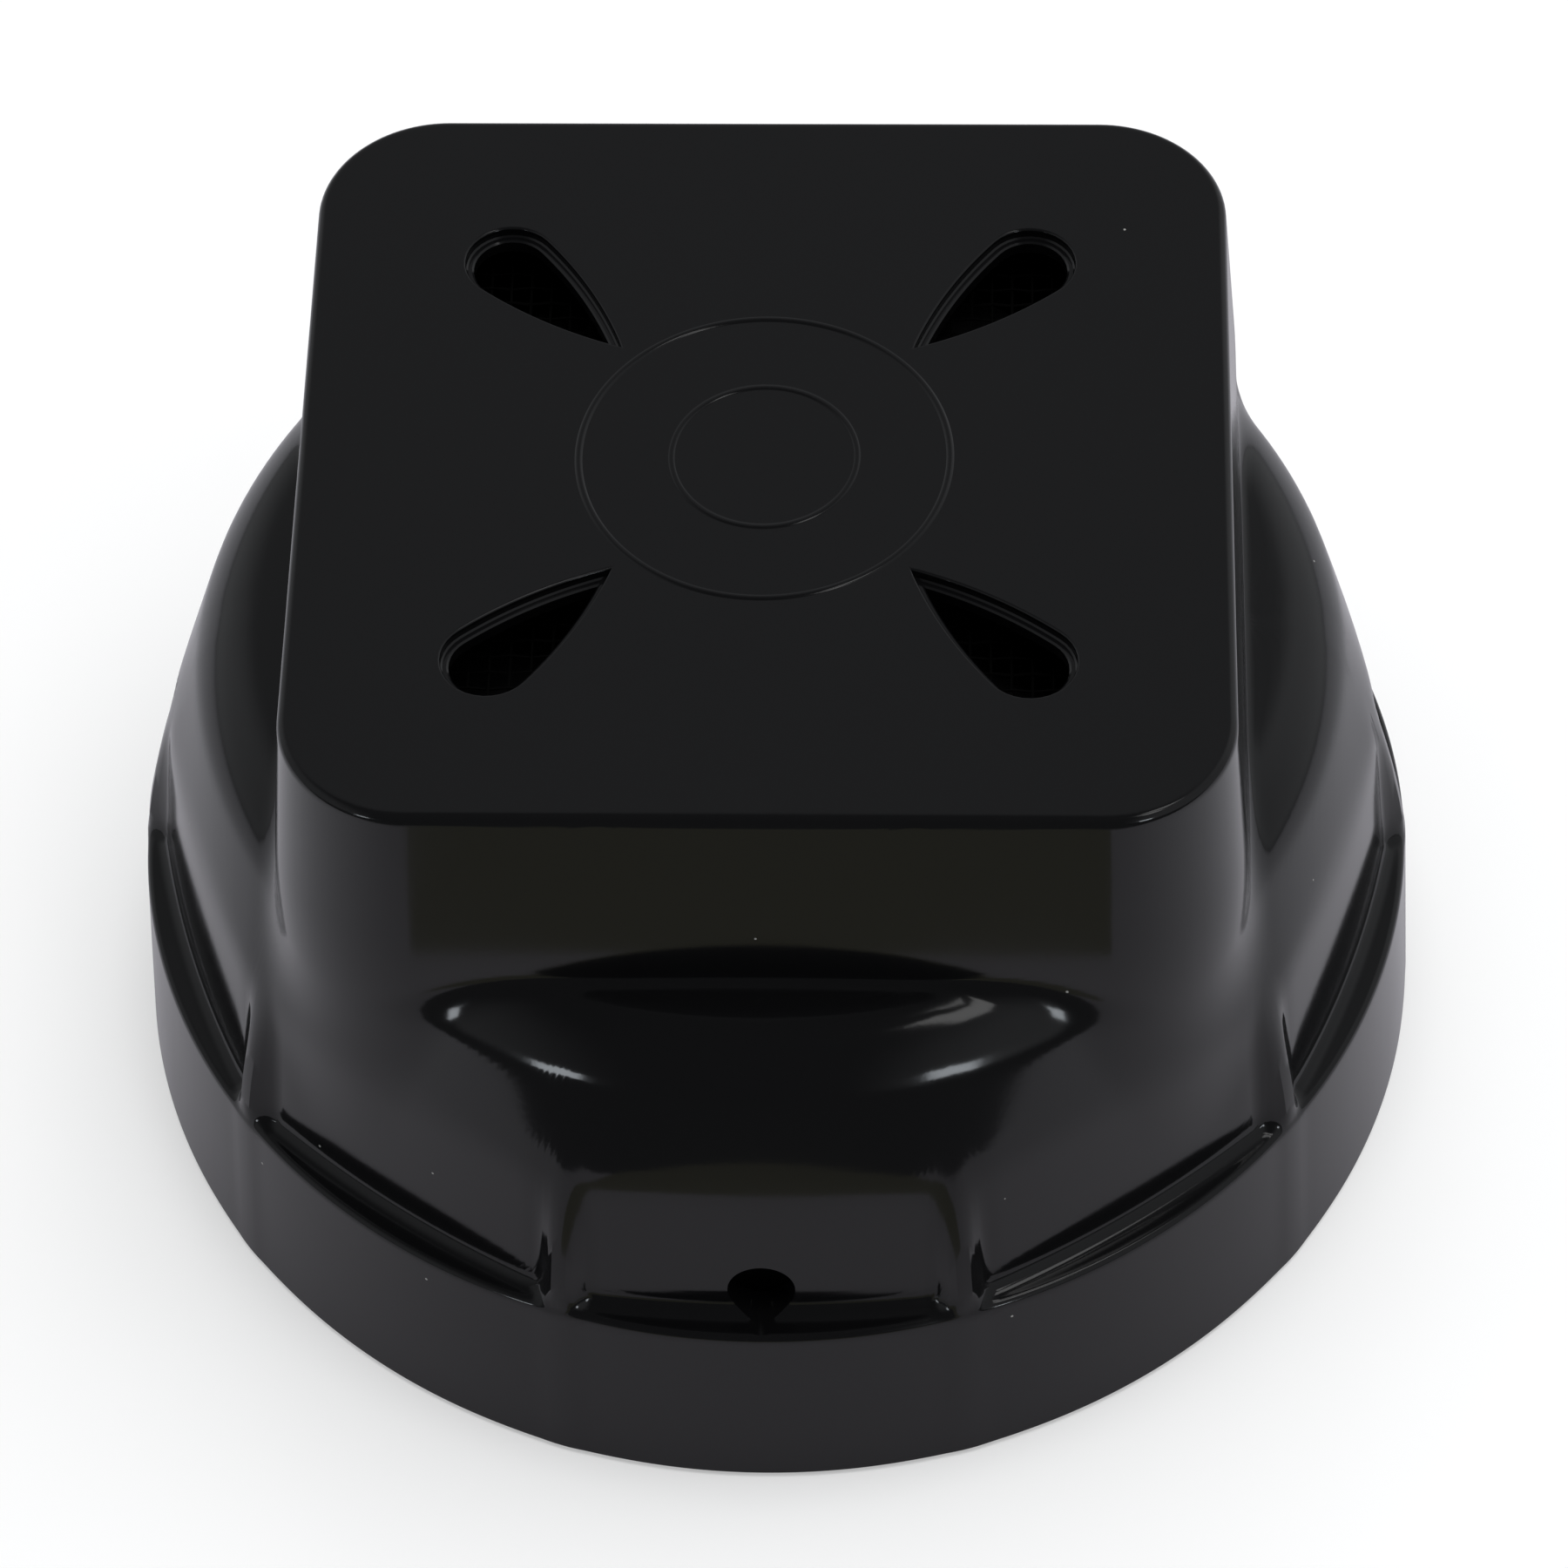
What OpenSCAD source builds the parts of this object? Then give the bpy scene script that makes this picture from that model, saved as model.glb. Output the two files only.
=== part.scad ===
// Twist-off insect bait station: a round black cover with a square vented tower, a base plate that it
// locks to, and a bait tray with a wick-fed liquid reservoir between them.
// Origin: centre of the base at floor level. +Z is up, the front entry hole faces -Y.

/* [Cover] */
// Diameter of the skirt at the floor
skirt_d = 105; // [95:1:120]
// Height from the floor to the top of the tower
total_h = 63.2; // [58:0.1:75]
// Height of the skirt, up to the gutter under the grip panels
skirt_h = 18; // [17:0.1:19]
// Draft of the skirt, in degrees
skirt_draft = 2.8; // [1:0.1:4]
// Wall thickness of the cover
wall = 2; // [1.6:0.1:2.4]
// Height of the flat shoulder round the tower
shoulder_h = 45.4; // [42:0.1:48]
// Gap between the skirt and the floor
skirt_gap = 0.6; // [0.3:0.1:1]

/* [Tower] */
// Width of the square tower at its top
tower_w = 72.3; // [66:0.1:76]
// Corner radius of the tower at its top
tower_r = 10; // [8:0.5:14]
// Draft of the tower's walls, in degrees
tower_draft = 4.6; // [1:0.1:6]
// Radius of the raised ring in the middle of the top
ring_r = 14.4; // [10:0.1:15]

/* [Vent slots] */
// Distance from each axis to the slot's pointed tip
slot_tip = 11.5; // [11:0.1:13]
// Distance from the tip to the centre of the round end
slot_run = 12.8; // [12:0.1:15]
// Radius of the round end
slot_r = 3; // [2.6:0.1:3.4]

/* [Grip panels] */
// Number of hollowed grip panels round the wall
panels = 10; // [8:2:12]
// Radius of the panel faces at their foot, in the gutter
panel_r = 49.1; // [48.8:0.1:49.4]
// Radius of the panel faces at their top edge
panel_top_r = 47.8; // [47.4:0.1:48]
// Height of the panels' top edge
panel_top = 32.8; // [32:0.1:33.5]
// Width of a rib at its root
rib_root = 6; // [4:0.1:8]
// Width of a rib at its crest
rib_crest = 1.6; // [1:0.1:3]
// Height of the entry holes above the floor
entry_z = 20.6; // [20.5:0.1:22]
// Diameter of the entry holes
entry_d = 5.3; // [4.5:0.1:6]

/* [Bayonet lock] */
// Number of lugs inside the skirt
lugs = 4; // [3:1:6]
// Angle that the cover turns to lock, in degrees
lock_turn = 30; // [20:1:36]
// Half the angular width of a lug, in degrees
lug_half = 4; // [3:0.5:6]

/* [Base] */
// Outer radius of the base rim
base_r = 49.4; // [48:0.1:49.5]
// Height of the base rim above the floor
base_h = 11.5; // [10:0.1:12]
// Spacing of the four mounting holes, hole to hole
mount_spacing = 50; // [40:1:54]
// Diameter of the mounting holes
mount_d = 4.5; // [4:0.1:5]

/* [Tray] */
// Outer radius of the tray
tray_r = 44.4; // [43:0.1:44.5]
// Height of the tray rim above the floor
tray_h = 12.6; // [12:0.1:13]
// Radius of the liquid reservoir
reservoir_r = 19.2; // [17:0.1:20]

/* [Hidden] */
$fn = 96;
eps = 0.01;
fit_gap = 0.2;                                 // running gap between parts that turn or lift

skirt_r = skirt_d / 2;
skirt_top_r = skirt_r - skirt_h * tan(skirt_draft);
ledge_h = skirt_h - 0.4;                       // floor of the gutter, where it meets the panel
land_h = 14;                                   // underside of the gutter, which comes down on the seal

// The outer wall: a steep cone, an 18 degree cone, a tight shoulder and a nearly flat crown
knee = [skirt_top_r - 1.35, skirt_h + 10];
shoulder_r = 7.1;
shoulder_c = [skirt_r - 12.9, shoulder_h - 7.8];
shoulder_start = 18;
crown_start = 75;

tower_a = tower_w / 2;
tower_c = tower_a - tower_r;                   // centre of the tower's corner radius
tower_foot = panel_top + 0.1;                  // the tower runs down inside the shoulder to here
tower_trim = [panel_top_r + 0.2, panel_top_r + 1.3];  // its corners are drawn in to these radii
tower_trim_h = 5.2;                            // over this height above the panels
tower_hollow_foot = 39;                        // its hollow starts above the panels, which cut its corners

// Vent stack under the tower's roof, from the roof down
roof_in = total_h - wall;
boss_h = 3;
screen_t = 0.4;
frame_t = 1.6;
spacer_h = 5.2;
baffle_t = 1.6;
screen_top = roof_in - boss_h;
frame_top = screen_top - screen_t;
spacer_top = frame_top - frame_t;
baffle_top = spacer_top - spacer_h;
screen_w = 65;
screen_corner = 44.8;                          // cut corners of the screen, from the middle
screw_p = 28.6;                                // vent screws, from each axis
screw_r = 1.45;
screw_hole_r = 1.8;

// Base
floor_z = 0.8;                                 // underside of the base plate, on its foot pads
floor_t = 2.2;
base_top = floor_z + floor_t;
rim_in_r = base_r - 4.2;
notch_r = base_r - 1.6;
slot_z = base_top + 0.6;                       // floor of the bayonet slots
lug_z = slot_z + 0.4;
lug_h = 3;
lug_gap = 0.4;
lug_in_r = notch_r + 0.3;
lug_play = 1.5;                                // angular play of a lug, in degrees
pad_ring_r = 33;
pad_r = 6;
pad_t = 1.3;

// Pivot that the tray turns on
post_r = 4;
post_top = 6.6;
washer_r = 7;
washer_t = 0.6;
pivot_r = 1.5;

// Tray
tray_z = base_top + 1.2;
tray_floor_t = 1.6;
tray_floor = tray_z + tray_floor_t;
tray_wall = 1.8;
socket_r = reservoir_r + 0.4;
socket_h = 16;
seat_z = 9.8;
key_w = 5;
key_r = 41.5;
key_out_r = 44.8;                              // a key stays inside the base rim up to here
key_root_r = panel_top_r - 0.2;                // and above the rim it runs into the wall
key_gap = 0.5;
divider_h = 11.6;
divider_t = 1.4;
ramp_w = 12;

// Reservoir
res_z = seat_z + fit_gap;
res_shoulder = 27;
res_wall = 1.2;
neck_r = 14;
neck_top = 32;
cap_r = 16.4;
cap_top = 34.2;
wick_r = 3;
liquid_top = 22;

function arc(c, r, a0, a1, n) = [for (i = [0:n]) c + r * [cos(a0 + (a1 - a0) * i / n), sin(a0 + (a1 - a0) * i / n)]];

// Half outline of the domed body, drawn in by a wall thickness t
function dome_outline(t) = concat(
    [[0, skirt_gap - eps - 2 * t], [skirt_r - t, skirt_gap - eps - 2 * t], [skirt_top_r - t, skirt_h]],
    [knee - [t, 0]],
    arc(shoulder_c, shoulder_r - t, shoulder_start, crown_start, 6),
    [[shoulder_c[0] - 6, shoulder_h - t], [0, shoulder_h - t]]);

module ring(r_in, r_out, z0, z1) {
    translate([0, 0, z0]) difference() {
        cylinder(r = r_out, h = z1 - z0);
        translate([0, 0, -1]) cylinder(r = r_in, h = z1 - z0 + 2);
    }
}

module ring_sector(r_in, r_out, z0, z1, a0, a1) {
    rotate([0, 0, a0]) rotate_extrude(angle = a1 - a0)
        translate([r_in, z0]) square([r_out - r_in, z1 - z0]);
}

module at_corners(p) {
    for (x = [-p, p], y = [-p, p]) translate([x, y, 0]) children();
}

// Square block with drafted walls and round corners, drawn in by a wall thickness t
module tower_block(t, z0, z1) {
    flare = tan(tower_draft) * (total_h - z0);
    top_flare = tan(tower_draft) * (total_h - z1);
    at_corners(tower_c) translate([0, 0, z0])
        cylinder(r1 = tower_r - t + flare, r2 = tower_r - t + top_flare, h = z1 - z0);
    for (turn = [0, 90]) rotate([0, 0, turn]) rotate([90, 0, 0])
        linear_extrude(height = 2 * tower_c, center = true)
            polygon([[-(tower_a - t + flare), z0], [tower_a - t + flare, z0],
                [tower_a - t + top_flare, z1], [-(tower_a - t + top_flare), z1]]);
}

// Pointed drop along +X, its tip at the origin: two bowed sides and a round end
slot_side_r = 36;
module drop(run, r) {
    px = (run * run + 2 * slot_side_r * r - r * r) / (2 * run);
    py = sqrt(slot_side_r * slot_side_r - px * px);
    tip_angle = atan2(py, -px);
    end_angle = atan2(py, run - px);
    side = arc([px, -py], slot_side_r, tip_angle, end_angle, 4);
    end = arc([run, 0], r, end_angle, -end_angle, 12);
    back = arc([px, py], slot_side_r, -end_angle, -tip_angle, 4);
    polygon(concat(side, [for (i = [1:len(end) - 1]) end[i]], [for (i = [1:len(back) - 2]) back[i]]));
}

// The hollowed grip panels: everything outside their faces, between the ribs
module panel_pockets() {
    difference() {
        rotate_extrude() polygon([[panel_r, ledge_h], [skirt_r + 2, skirt_h], [skirt_r + 2, panel_top + 10],
            [panel_top_r - 2.1, panel_top + 8.8], [panel_top_r, panel_top]]);
        for (i = [0:panels - 1]) rotate([0, 0, 90 + (i + 0.5) * 360 / panels])
            linear_extrude(height = total_h)
                polygon([[panel_r - 5, -rib_root / 2], [panel_r - 1, -rib_root / 2],
                    [skirt_top_r, -rib_crest / 2], [skirt_r + 3, -rib_crest / 2],
                    [skirt_r + 3, rib_crest / 2], [skirt_top_r, rib_crest / 2],
                    [panel_r - 1, rib_root / 2], [panel_r - 5, rib_root / 2]]);
    }
}

// The tower, its corners drawn in where they run down into the panels
module tower() {
    difference() {
        tower_block(0, tower_foot, total_h);
        rotate_extrude() polygon([[tower_trim[0], panel_top - 1], [skirt_r, panel_top - 1],
            [skirt_r, panel_top + tower_trim_h + 1], [tower_trim[1], panel_top + tower_trim_h],
            [tower_trim[0], panel_top]]);
    }
}

module cover_hollow() {
    rotate_extrude() polygon([[0, -1], [skirt_r - wall, -1], [skirt_top_r - wall, land_h],
        [rim_in_r, land_h], [rim_in_r, land_h + wall], [panel_r - wall, land_h + 2 * wall],
        [panel_top_r - wall, panel_top], [panel_top_r - wall - 2, panel_top + 8],
        [shoulder_c[0], shoulder_h - wall], [0, shoulder_h - wall]]);
    tower_block(wall, tower_hollow_foot, roof_in);
}

module cover() {
    color("#1c1c1e") {
        difference() {
            union() {
                difference() {
                    rotate_extrude() polygon(dome_outline(0));
                    panel_pockets();
                }
                tower();
                ring(ring_r - 0.5, ring_r + 0.3, total_h - 1, total_h + 0.25);
            }
            cover_hollow();
            for (turn = [45:90:315]) rotate([0, 0, turn]) translate([slot_tip * sqrt(2), 0, 0]) {
                translate([0.8, 0, roof_in - 1]) linear_extrude(height = wall + 2) drop(slot_run - 0.8, slot_r);
                translate([0, 0, total_h - 0.6]) linear_extrude(height = 2) drop(slot_run, slot_r + 0.6);
            }
            for (turn = [0, 180]) rotate([0, 0, turn]) translate([0, -panel_r + 5, entry_z])
                rotate([90, 0, 0]) cylinder(d = entry_d, h = 6.4);
        }
        // Screw bosses under the roof
        at_corners(screw_p) difference() {
            translate([0, 0, screen_top]) cylinder(r = 3.2, h = boss_h + 0.5);
            translate([0, 0, screen_top - 1]) cylinder(r = screw_r + 0.05, h = boss_h + 1);
        }
        // Bayonet lugs inside the skirt
        for (i = [0:lugs - 1]) ring_sector(lug_in_r, skirt_r - wall / 2 - 0.4, lug_z, lug_z + lug_h,
            45 + i * 360 / lugs - lug_half, 45 + i * 360 / lugs + lug_half);
        // Keys that turn the tray with the cover
        for (side = [-1, 1]) {
            translate([side > 0 ? key_r : -key_out_r, -key_w / 2, 9]) cube([key_out_r - key_r, key_w, 21]);
            translate([side > 0 ? key_r : -key_root_r, -key_w / 2, land_h + 1]) cube([key_root_r - key_r, key_w, 15]);
        }
    }
}

// Cuts the corners of the square screen and its frame clear of the tower's round corners
module screen_corners(z) {
    for (turn = [45:90:315]) rotate([0, 0, turn]) translate([screen_corner, -10, z - 1]) cube([10, 20, 4]);
}

module vent_screen() {
    color("#222222") difference() {
        translate([-screen_w / 2, -screen_w / 2, frame_top]) cube([screen_w, screen_w, screen_t]);
        at_corners(screw_p) translate([0, 0, frame_top - 1]) cylinder(r = screw_hole_r, h = 3);
        screen_corners(frame_top);
    }
}

module screen_frame() {
    color("#2a2a2c") difference() {
        translate([-screen_w / 2, -screen_w / 2, spacer_top]) cube([screen_w, screen_w, frame_t]);
        translate([-25, -32, spacer_top - 1]) cube([50, 64, 4]);
        translate([-32, -25, spacer_top - 1]) cube([64, 50, 4]);
        at_corners(screw_p) translate([0, 0, spacer_top - 1]) cylinder(r = screw_hole_r, h = 4);
        screen_corners(spacer_top);
    }
    color("#2a2a2c") for (turn = [0:90:270]) rotate([0, 0, turn])
        translate([-26, 29.5, spacer_top]) cube([52, 3, frame_t]);
}

module baffle_spacers() {
    color("#38383b") at_corners(screw_p) ring(screw_hole_r, 3, baffle_top, spacer_top);
}

module rain_baffle() {
    color("#2a2a2c") difference() {
        union() {
            translate([0, 0, baffle_top - baffle_t]) cylinder(r = 32.4, h = baffle_t);
            for (turn = [45, 135]) rotate([0, 0, turn])
                translate([-screw_p * sqrt(2), -3.2, baffle_top - baffle_t])
                    cube([2 * screw_p * sqrt(2), 6.4, baffle_t]);
            at_corners(screw_p) translate([0, 0, baffle_top - baffle_t]) cylinder(r = 4, h = baffle_t);
        }
        at_corners(screw_p) translate([0, 0, baffle_top - 3]) cylinder(r = screw_hole_r, h = 5);
    }
}

module baffle_screws() {
    color("silver") at_corners(screw_p) {
        translate([0, 0, baffle_top - baffle_t - 1.8]) cylinder(r = 2.8, h = 1.8);
        translate([0, 0, baffle_top - baffle_t - 0.5]) cylinder(r = screw_r, h = roof_in - baffle_top + baffle_t);
    }
}

// Blank record card on the underside of the baffle, held by two spring clips
card_z = baffle_top - baffle_t - 0.5;
module service_card() {
    color("ivory") translate([-18, -12, card_z]) cube([36, 24, 0.4]);
}

module card_clips() {
    color("silver") for (side = [-1, 1]) translate([side * 19.4, 0, 0]) {
        translate([-1.2, -3, baffle_top - baffle_t - 1.1]) cube([2.4, 6, 1.1]);
        translate([side > 0 ? -4.4 : -1.2, -3, card_z - 0.5]) cube([5.6, 6, 0.4]);
    }
}

module base_plate() {
    color("#242426") difference() {
        union() {
            translate([0, 0, floor_z]) cylinder(r = base_r, h = floor_t);
            ring(rim_in_r, base_r, floor_z, base_h);
            translate([0, 0, floor_z]) cylinder(r = post_r, h = post_top - floor_z);
            translate([0, 0, floor_z]) cylinder(r = post_r + 2.5, h = tray_z - fit_gap - floor_z);
        }
        // Bayonet: a way in for each lug, and a slot round from its foot
        for (i = [0:lugs - 1]) rotate([0, 0, 45 + i * 360 / lugs]) {
            ring_sector(notch_r, base_r + 1, slot_z, base_h + 1, -lug_half - lug_play, lug_half + lug_play);
            ring_sector(notch_r, base_r + 1, slot_z, lug_z + lug_h + lug_gap,
                -lock_turn - lug_half - lug_play, lug_half);
        }
        // Groove for the seal
        ring(rim_in_r + 0.2, notch_r - 0.3, base_h - 0.5, base_h + 1);
        at_corners(mount_spacing / 2) {
            translate([0, 0, floor_z - 1]) cylinder(d = mount_d, h = floor_t + 2);
            translate([0, 0, base_top - 0.9]) cylinder(d1 = mount_d, d2 = mount_d + 3.6, h = 0.9 + eps);
        }
        for (turn = [0:90:270]) rotate([0, 0, turn]) translate([pad_ring_r, 0, floor_z - 1])
            cylinder(r = pad_r + 0.3, h = 1 + 0.6);
        translate([0, 0, floor_z + 1]) cylinder(r = pivot_r + 0.05, h = post_top);
    }
}

module foot_pads() {
    color("#3a3a3a") for (turn = [0:90:270]) rotate([0, 0, turn])
        translate([pad_ring_r, 0, 0]) cylinder(r = pad_r, h = pad_t);
}

module base_seal() {
    color("#4a4a4c") ring(rim_in_r + 0.3, notch_r - 0.4, base_h - 0.4, land_h - 0.3);
}

module pivot_washer() {
    color("silver") ring(pivot_r + 0.2, washer_r, post_top, post_top + washer_t);
}

module pivot_screw() {
    color("silver") difference() {
        union() {
            translate([0, 0, post_top + washer_t]) cylinder(r = 3.2, h = 1.6);
            translate([0, 0, floor_z + 1.4]) cylinder(r = pivot_r, h = post_top + washer_t - floor_z - 0.9);
        }
        for (turn = [0, 90]) rotate([0, 0, turn]) translate([-1.8, -0.35, post_top + washer_t + 0.7])
            cube([3.6, 0.7, 2]);
    }
}

module bait_tray() {
    color("#55585c") difference() {
        union() {
            translate([0, 0, tray_z]) cylinder(r = tray_r, h = tray_floor_t);
            ring(tray_r - tray_wall, tray_r, tray_z, tray_h);
            ring(socket_r, socket_r + tray_wall, tray_z, socket_h);
            ring(socket_r - 2.4, socket_r + 0.5, tray_z, seat_z);
            for (turn = [45:90:315]) rotate([0, 0, turn])
                translate([socket_r + 1, -divider_t / 2, tray_z]) cube([tray_r - socket_r - 2, divider_t, divider_h - tray_z]);
            // Ramps down from the entry holes
            for (turn = [0, 180]) rotate([0, 0, turn]) translate([-ramp_w / 2, 0, 0]) rotate([90, 0, 90])
                linear_extrude(height = ramp_w) polygon([[-tray_r + 1.4, entry_z - entry_d / 2 - 0.3],
                    [-tray_r + 1.4, tray_z], [-socket_r - 7, tray_z], [-socket_r - 7, tray_floor + 0.4]]);
        }
        translate([0, 0, tray_z - 1]) cylinder(r = post_r + 0.3, h = 10);
        for (side = [-1, 1]) translate([side > 0 ? key_r - key_gap : -tray_r - 1, -key_w / 2 - key_gap, 8])
            cube([tray_r + 1 - key_r + key_gap, key_w + 2 * key_gap, 10]);
    }
}

module granular_bait() {
    color("#b08a4e") for (turn = [0, 180]) rotate([0, 0, turn])
        ring_sector(socket_r + tray_wall + 0.4, key_r - key_gap - 0.6, tray_floor, tray_floor + 3.4, -38, 38);
}

module bait_blocks() {
    color("#3f7d4f") for (turn = [0, 180], side = [-1, 1]) rotate([0, 0, turn])
        translate([side * 12.4 - 4.5, -37, tray_floor]) cube([9, 9, 6]);
}

module liquid_reservoir() {
    color("#c9d4dc") rotate_extrude() difference() {
        union() {
            translate([0, res_z]) square([reservoir_r, res_shoulder - res_z]);
            translate([0, res_z]) square([neck_r, neck_top - res_z]);
        }
        translate([-1, res_z + res_wall]) square([reservoir_r - res_wall + 1, res_shoulder - res_z - 2 * res_wall]);
        translate([-1, res_z + res_wall]) square([neck_r - res_wall + 1, neck_top]);
    }
}

module liquid_bait() {
    color("#c8861e") difference() {
        translate([0, 0, res_z + res_wall + 0.05])
            cylinder(r = reservoir_r - res_wall - 0.05, h = liquid_top - res_z - res_wall);
        translate([0, 0, res_z + res_wall + 0.8]) cylinder(r = wick_r + 0.1, h = liquid_top);
    }
}

module cap_seal() {
    color("#7a2f2a") ring(neck_r - res_wall, neck_r, neck_top, neck_top + 0.8);
}

module wick() {
    color("white") {
        translate([0, 0, res_z + res_wall + 1]) cylinder(r = wick_r, h = cap_top - res_z);
        translate([0, 0, cap_top + 0.3]) cylinder(r = 6.5, h = 2.6);
    }
}

module feeder_cap() {
    color("#c23b2e") difference() {
        translate([0, 0, res_shoulder + 0.6]) cylinder(r = cap_r, h = cap_top - res_shoulder - 0.6);
        translate([0, 0, res_shoulder - 1]) cylinder(r = neck_r + 0.4, h = neck_top + 1 - res_shoulder + 1);
        translate([0, 0, neck_top - 1]) cylinder(r = wick_r + 0.4, h = 10);
        for (i = [0:7]) rotate([0, 0, i * 45]) translate([9.6, 0, neck_top - 1]) cylinder(r = 0.9, h = 10);
    }
}

base_plate();
foot_pads();
base_seal();
pivot_screw();
pivot_washer();
bait_tray();
granular_bait();
bait_blocks();
liquid_reservoir();
liquid_bait();
cap_seal();
wick();
feeder_cap();
cover();
vent_screen();
screen_frame();
baffle_spacers();
rain_baffle();
baffle_screws();
service_card();
card_clips();
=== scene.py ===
import math

import bmesh
import bpy
import numpy as np
from mathutils import Matrix, Vector


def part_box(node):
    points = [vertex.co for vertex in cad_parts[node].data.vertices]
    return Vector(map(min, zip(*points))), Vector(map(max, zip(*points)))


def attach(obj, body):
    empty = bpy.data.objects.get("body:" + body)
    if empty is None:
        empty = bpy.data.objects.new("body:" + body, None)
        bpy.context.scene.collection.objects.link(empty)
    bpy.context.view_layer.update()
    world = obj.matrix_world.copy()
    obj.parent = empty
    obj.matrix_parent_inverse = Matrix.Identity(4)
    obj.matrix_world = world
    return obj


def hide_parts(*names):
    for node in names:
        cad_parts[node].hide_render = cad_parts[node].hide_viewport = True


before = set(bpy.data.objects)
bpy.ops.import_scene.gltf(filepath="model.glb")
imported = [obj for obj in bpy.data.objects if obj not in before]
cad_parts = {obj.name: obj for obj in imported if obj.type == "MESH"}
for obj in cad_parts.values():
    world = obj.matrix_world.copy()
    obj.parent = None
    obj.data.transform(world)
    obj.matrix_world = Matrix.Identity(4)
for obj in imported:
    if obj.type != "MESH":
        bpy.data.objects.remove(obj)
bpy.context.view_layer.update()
scene = bpy.context.scene
MM = 0.001
station_lo, station_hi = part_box("cover")
skirt_radius = station_hi.x / MM            # 52.5, at the floor

# ---- Camera, table and lights ------------------------------------------------------------------
# A pale seamless sweep under soft boxes, seen from in front and well above through a long lens.
# The camera turns about a point inside the station; its tilt and roll are those of a hand-held shot.
camera_pitch = math.radians(50.93)
camera_yaw = math.radians(2.436)
camera_roll = math.radians(1.62)
camera_distance = 11.692 * skirt_radius * MM
camera_right = 0.0153 * skirt_radius * MM
camera_up = 0.2745 * skirt_radius * MM
lens_mm = 167.45

right = Vector((math.cos(camera_yaw), math.sin(camera_yaw), 0))
ahead = Vector((-math.sin(camera_yaw), math.cos(camera_yaw), 0))
up = ahead * math.sin(camera_pitch) + Vector((0, 0, math.cos(camera_pitch)))
back = -ahead * math.cos(camera_pitch) + Vector((0, 0, math.sin(camera_pitch)))
lens_right = right * math.cos(camera_roll) - up * math.sin(camera_roll)
lens_up = right * math.sin(camera_roll) + up * math.cos(camera_roll)

camera_data = bpy.data.cameras.new("camera")
camera_data.lens = lens_mm
camera_data.sensor_width = 36
camera_data.clip_start = 0.02
camera = bpy.data.objects.new("camera", camera_data)
camera.matrix_world = Matrix.Translation(back * camera_distance + right * camera_right + up * camera_up) @ \
    Matrix(
    (lens_right, lens_up, back)).transposed().to_4x4()
scene.collection.objects.link(camera)
scene.camera = camera


class Wire:
    """A socket of a node tree. Its operators add Math nodes, so that masks are written as sums."""

    def __init__(self, tree, socket):
        self.tree, self.socket = tree, socket

    def math(self, operation, other=0.0, swapped=False):
        first, second = (other, self) if swapped else (self, other)
        return add(self.tree, "ShaderNodeMath", {"operation": operation}, {0: first, 1: second})[0]

    def __add__(self, other): return self.math("ADD", other)
    def __radd__(self, other): return self.math("ADD", other)
    def __sub__(self, other): return self.math("SUBTRACT", other)
    def __rsub__(self, other): return self.math("SUBTRACT", other, swapped=True)
    def __mul__(self, other): return self.math("MULTIPLY", other)
    def __rmul__(self, other): return self.math("MULTIPLY", other)
    def __truediv__(self, other): return self.math("DIVIDE", other)
    def __gt__(self, other): return self.math("GREATER_THAN", other)
    def __lt__(self, other): return self.math("LESS_THAN", other)

    def ramp(self, low, high):
        """0 below low, 1 above high, smooth between."""
        return add(self.tree, "ShaderNodeMapRange", {"interpolation_type": "SMOOTHSTEP"},
                   {"Value": self, "From Min": low, "From Max": high})["Result"]


class Made:
    """A node that was added, with its outputs as wires."""

    def __init__(self, tree, node):
        self.tree, self.node = tree, node

    def __getitem__(self, key):
        return Wire(self.tree, self.node.outputs[key])


def add(tree, kind, settings=(), inputs=()):
    """Adds a node: its settings first, then the values or links of its sockets."""
    node = tree.nodes.new(kind)
    for key, value in dict(settings).items():
        setattr(node, key, value)
    for key, value in dict(inputs).items():
        if isinstance(value, Wire):
            tree.links.new(value.socket, node.inputs[key])
        else:
            node.inputs[key].default_value = value
    return Made(tree, node)


class Finish:
    """A material: one Principled shader, and what varies over the surface."""

    def __init__(self, name, **constants):
        self.material = bpy.data.materials.new(name)
        self.material.use_nodes = True
        self.tree = self.material.node_tree
        self.shader = self.tree.nodes["Principled BSDF"]
        for key, value in constants.items():
            self.shader.inputs[key.replace("_", " ")].default_value = value
        self.place = add(self.tree, "ShaderNodeTexCoord")["Object"]

    def stretched(self, x=1.0, y=1.0, z=1.0):
        return add(self.tree, "ShaderNodeMapping", (), {"Vector": self.place, "Scale": (x, y, z)})[0]

    def noise(self, size_mm, detail=2.0, rough=0.5, place=None, warp=0.0):
        return add(self.tree, "ShaderNodeTexNoise", (), {
            "Vector": place or self.place, "Scale": 1 / (size_mm * MM), "Detail": detail, "Roughness": rough,
            "Distortion": warp})["Fac"]

    def cells(self, size_mm, feature="F1", place=None):
        return add(self.tree, "ShaderNodeTexVoronoi", {"feature": feature},
                   {"Vector": place or self.place, "Scale": 1 / (size_mm * MM)})

    def mix(self, factor, first, second):
        return add(self.tree, "ShaderNodeMix", {"data_type": "RGBA"}, {0: factor, 6: first, 7: second})[2]

    def part(self, vector, axis):
        return add(self.tree, "ShaderNodeSeparateXYZ", (), {0: vector})[axis]

    def feed(self, socket, wire):
        self.tree.links.new(wire.socket, self.shader.inputs[socket])

    def bump(self, height, depth_mm, strength=1.0):
        out = add(self.tree, "ShaderNodeBump", (), {"Height": height, "Distance": depth_mm * MM,
                                                    "Strength": strength})
        self.feed("Normal", out["Normal"])


def tint(r, g, b):
    return (r, g, b, 1.0)


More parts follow.
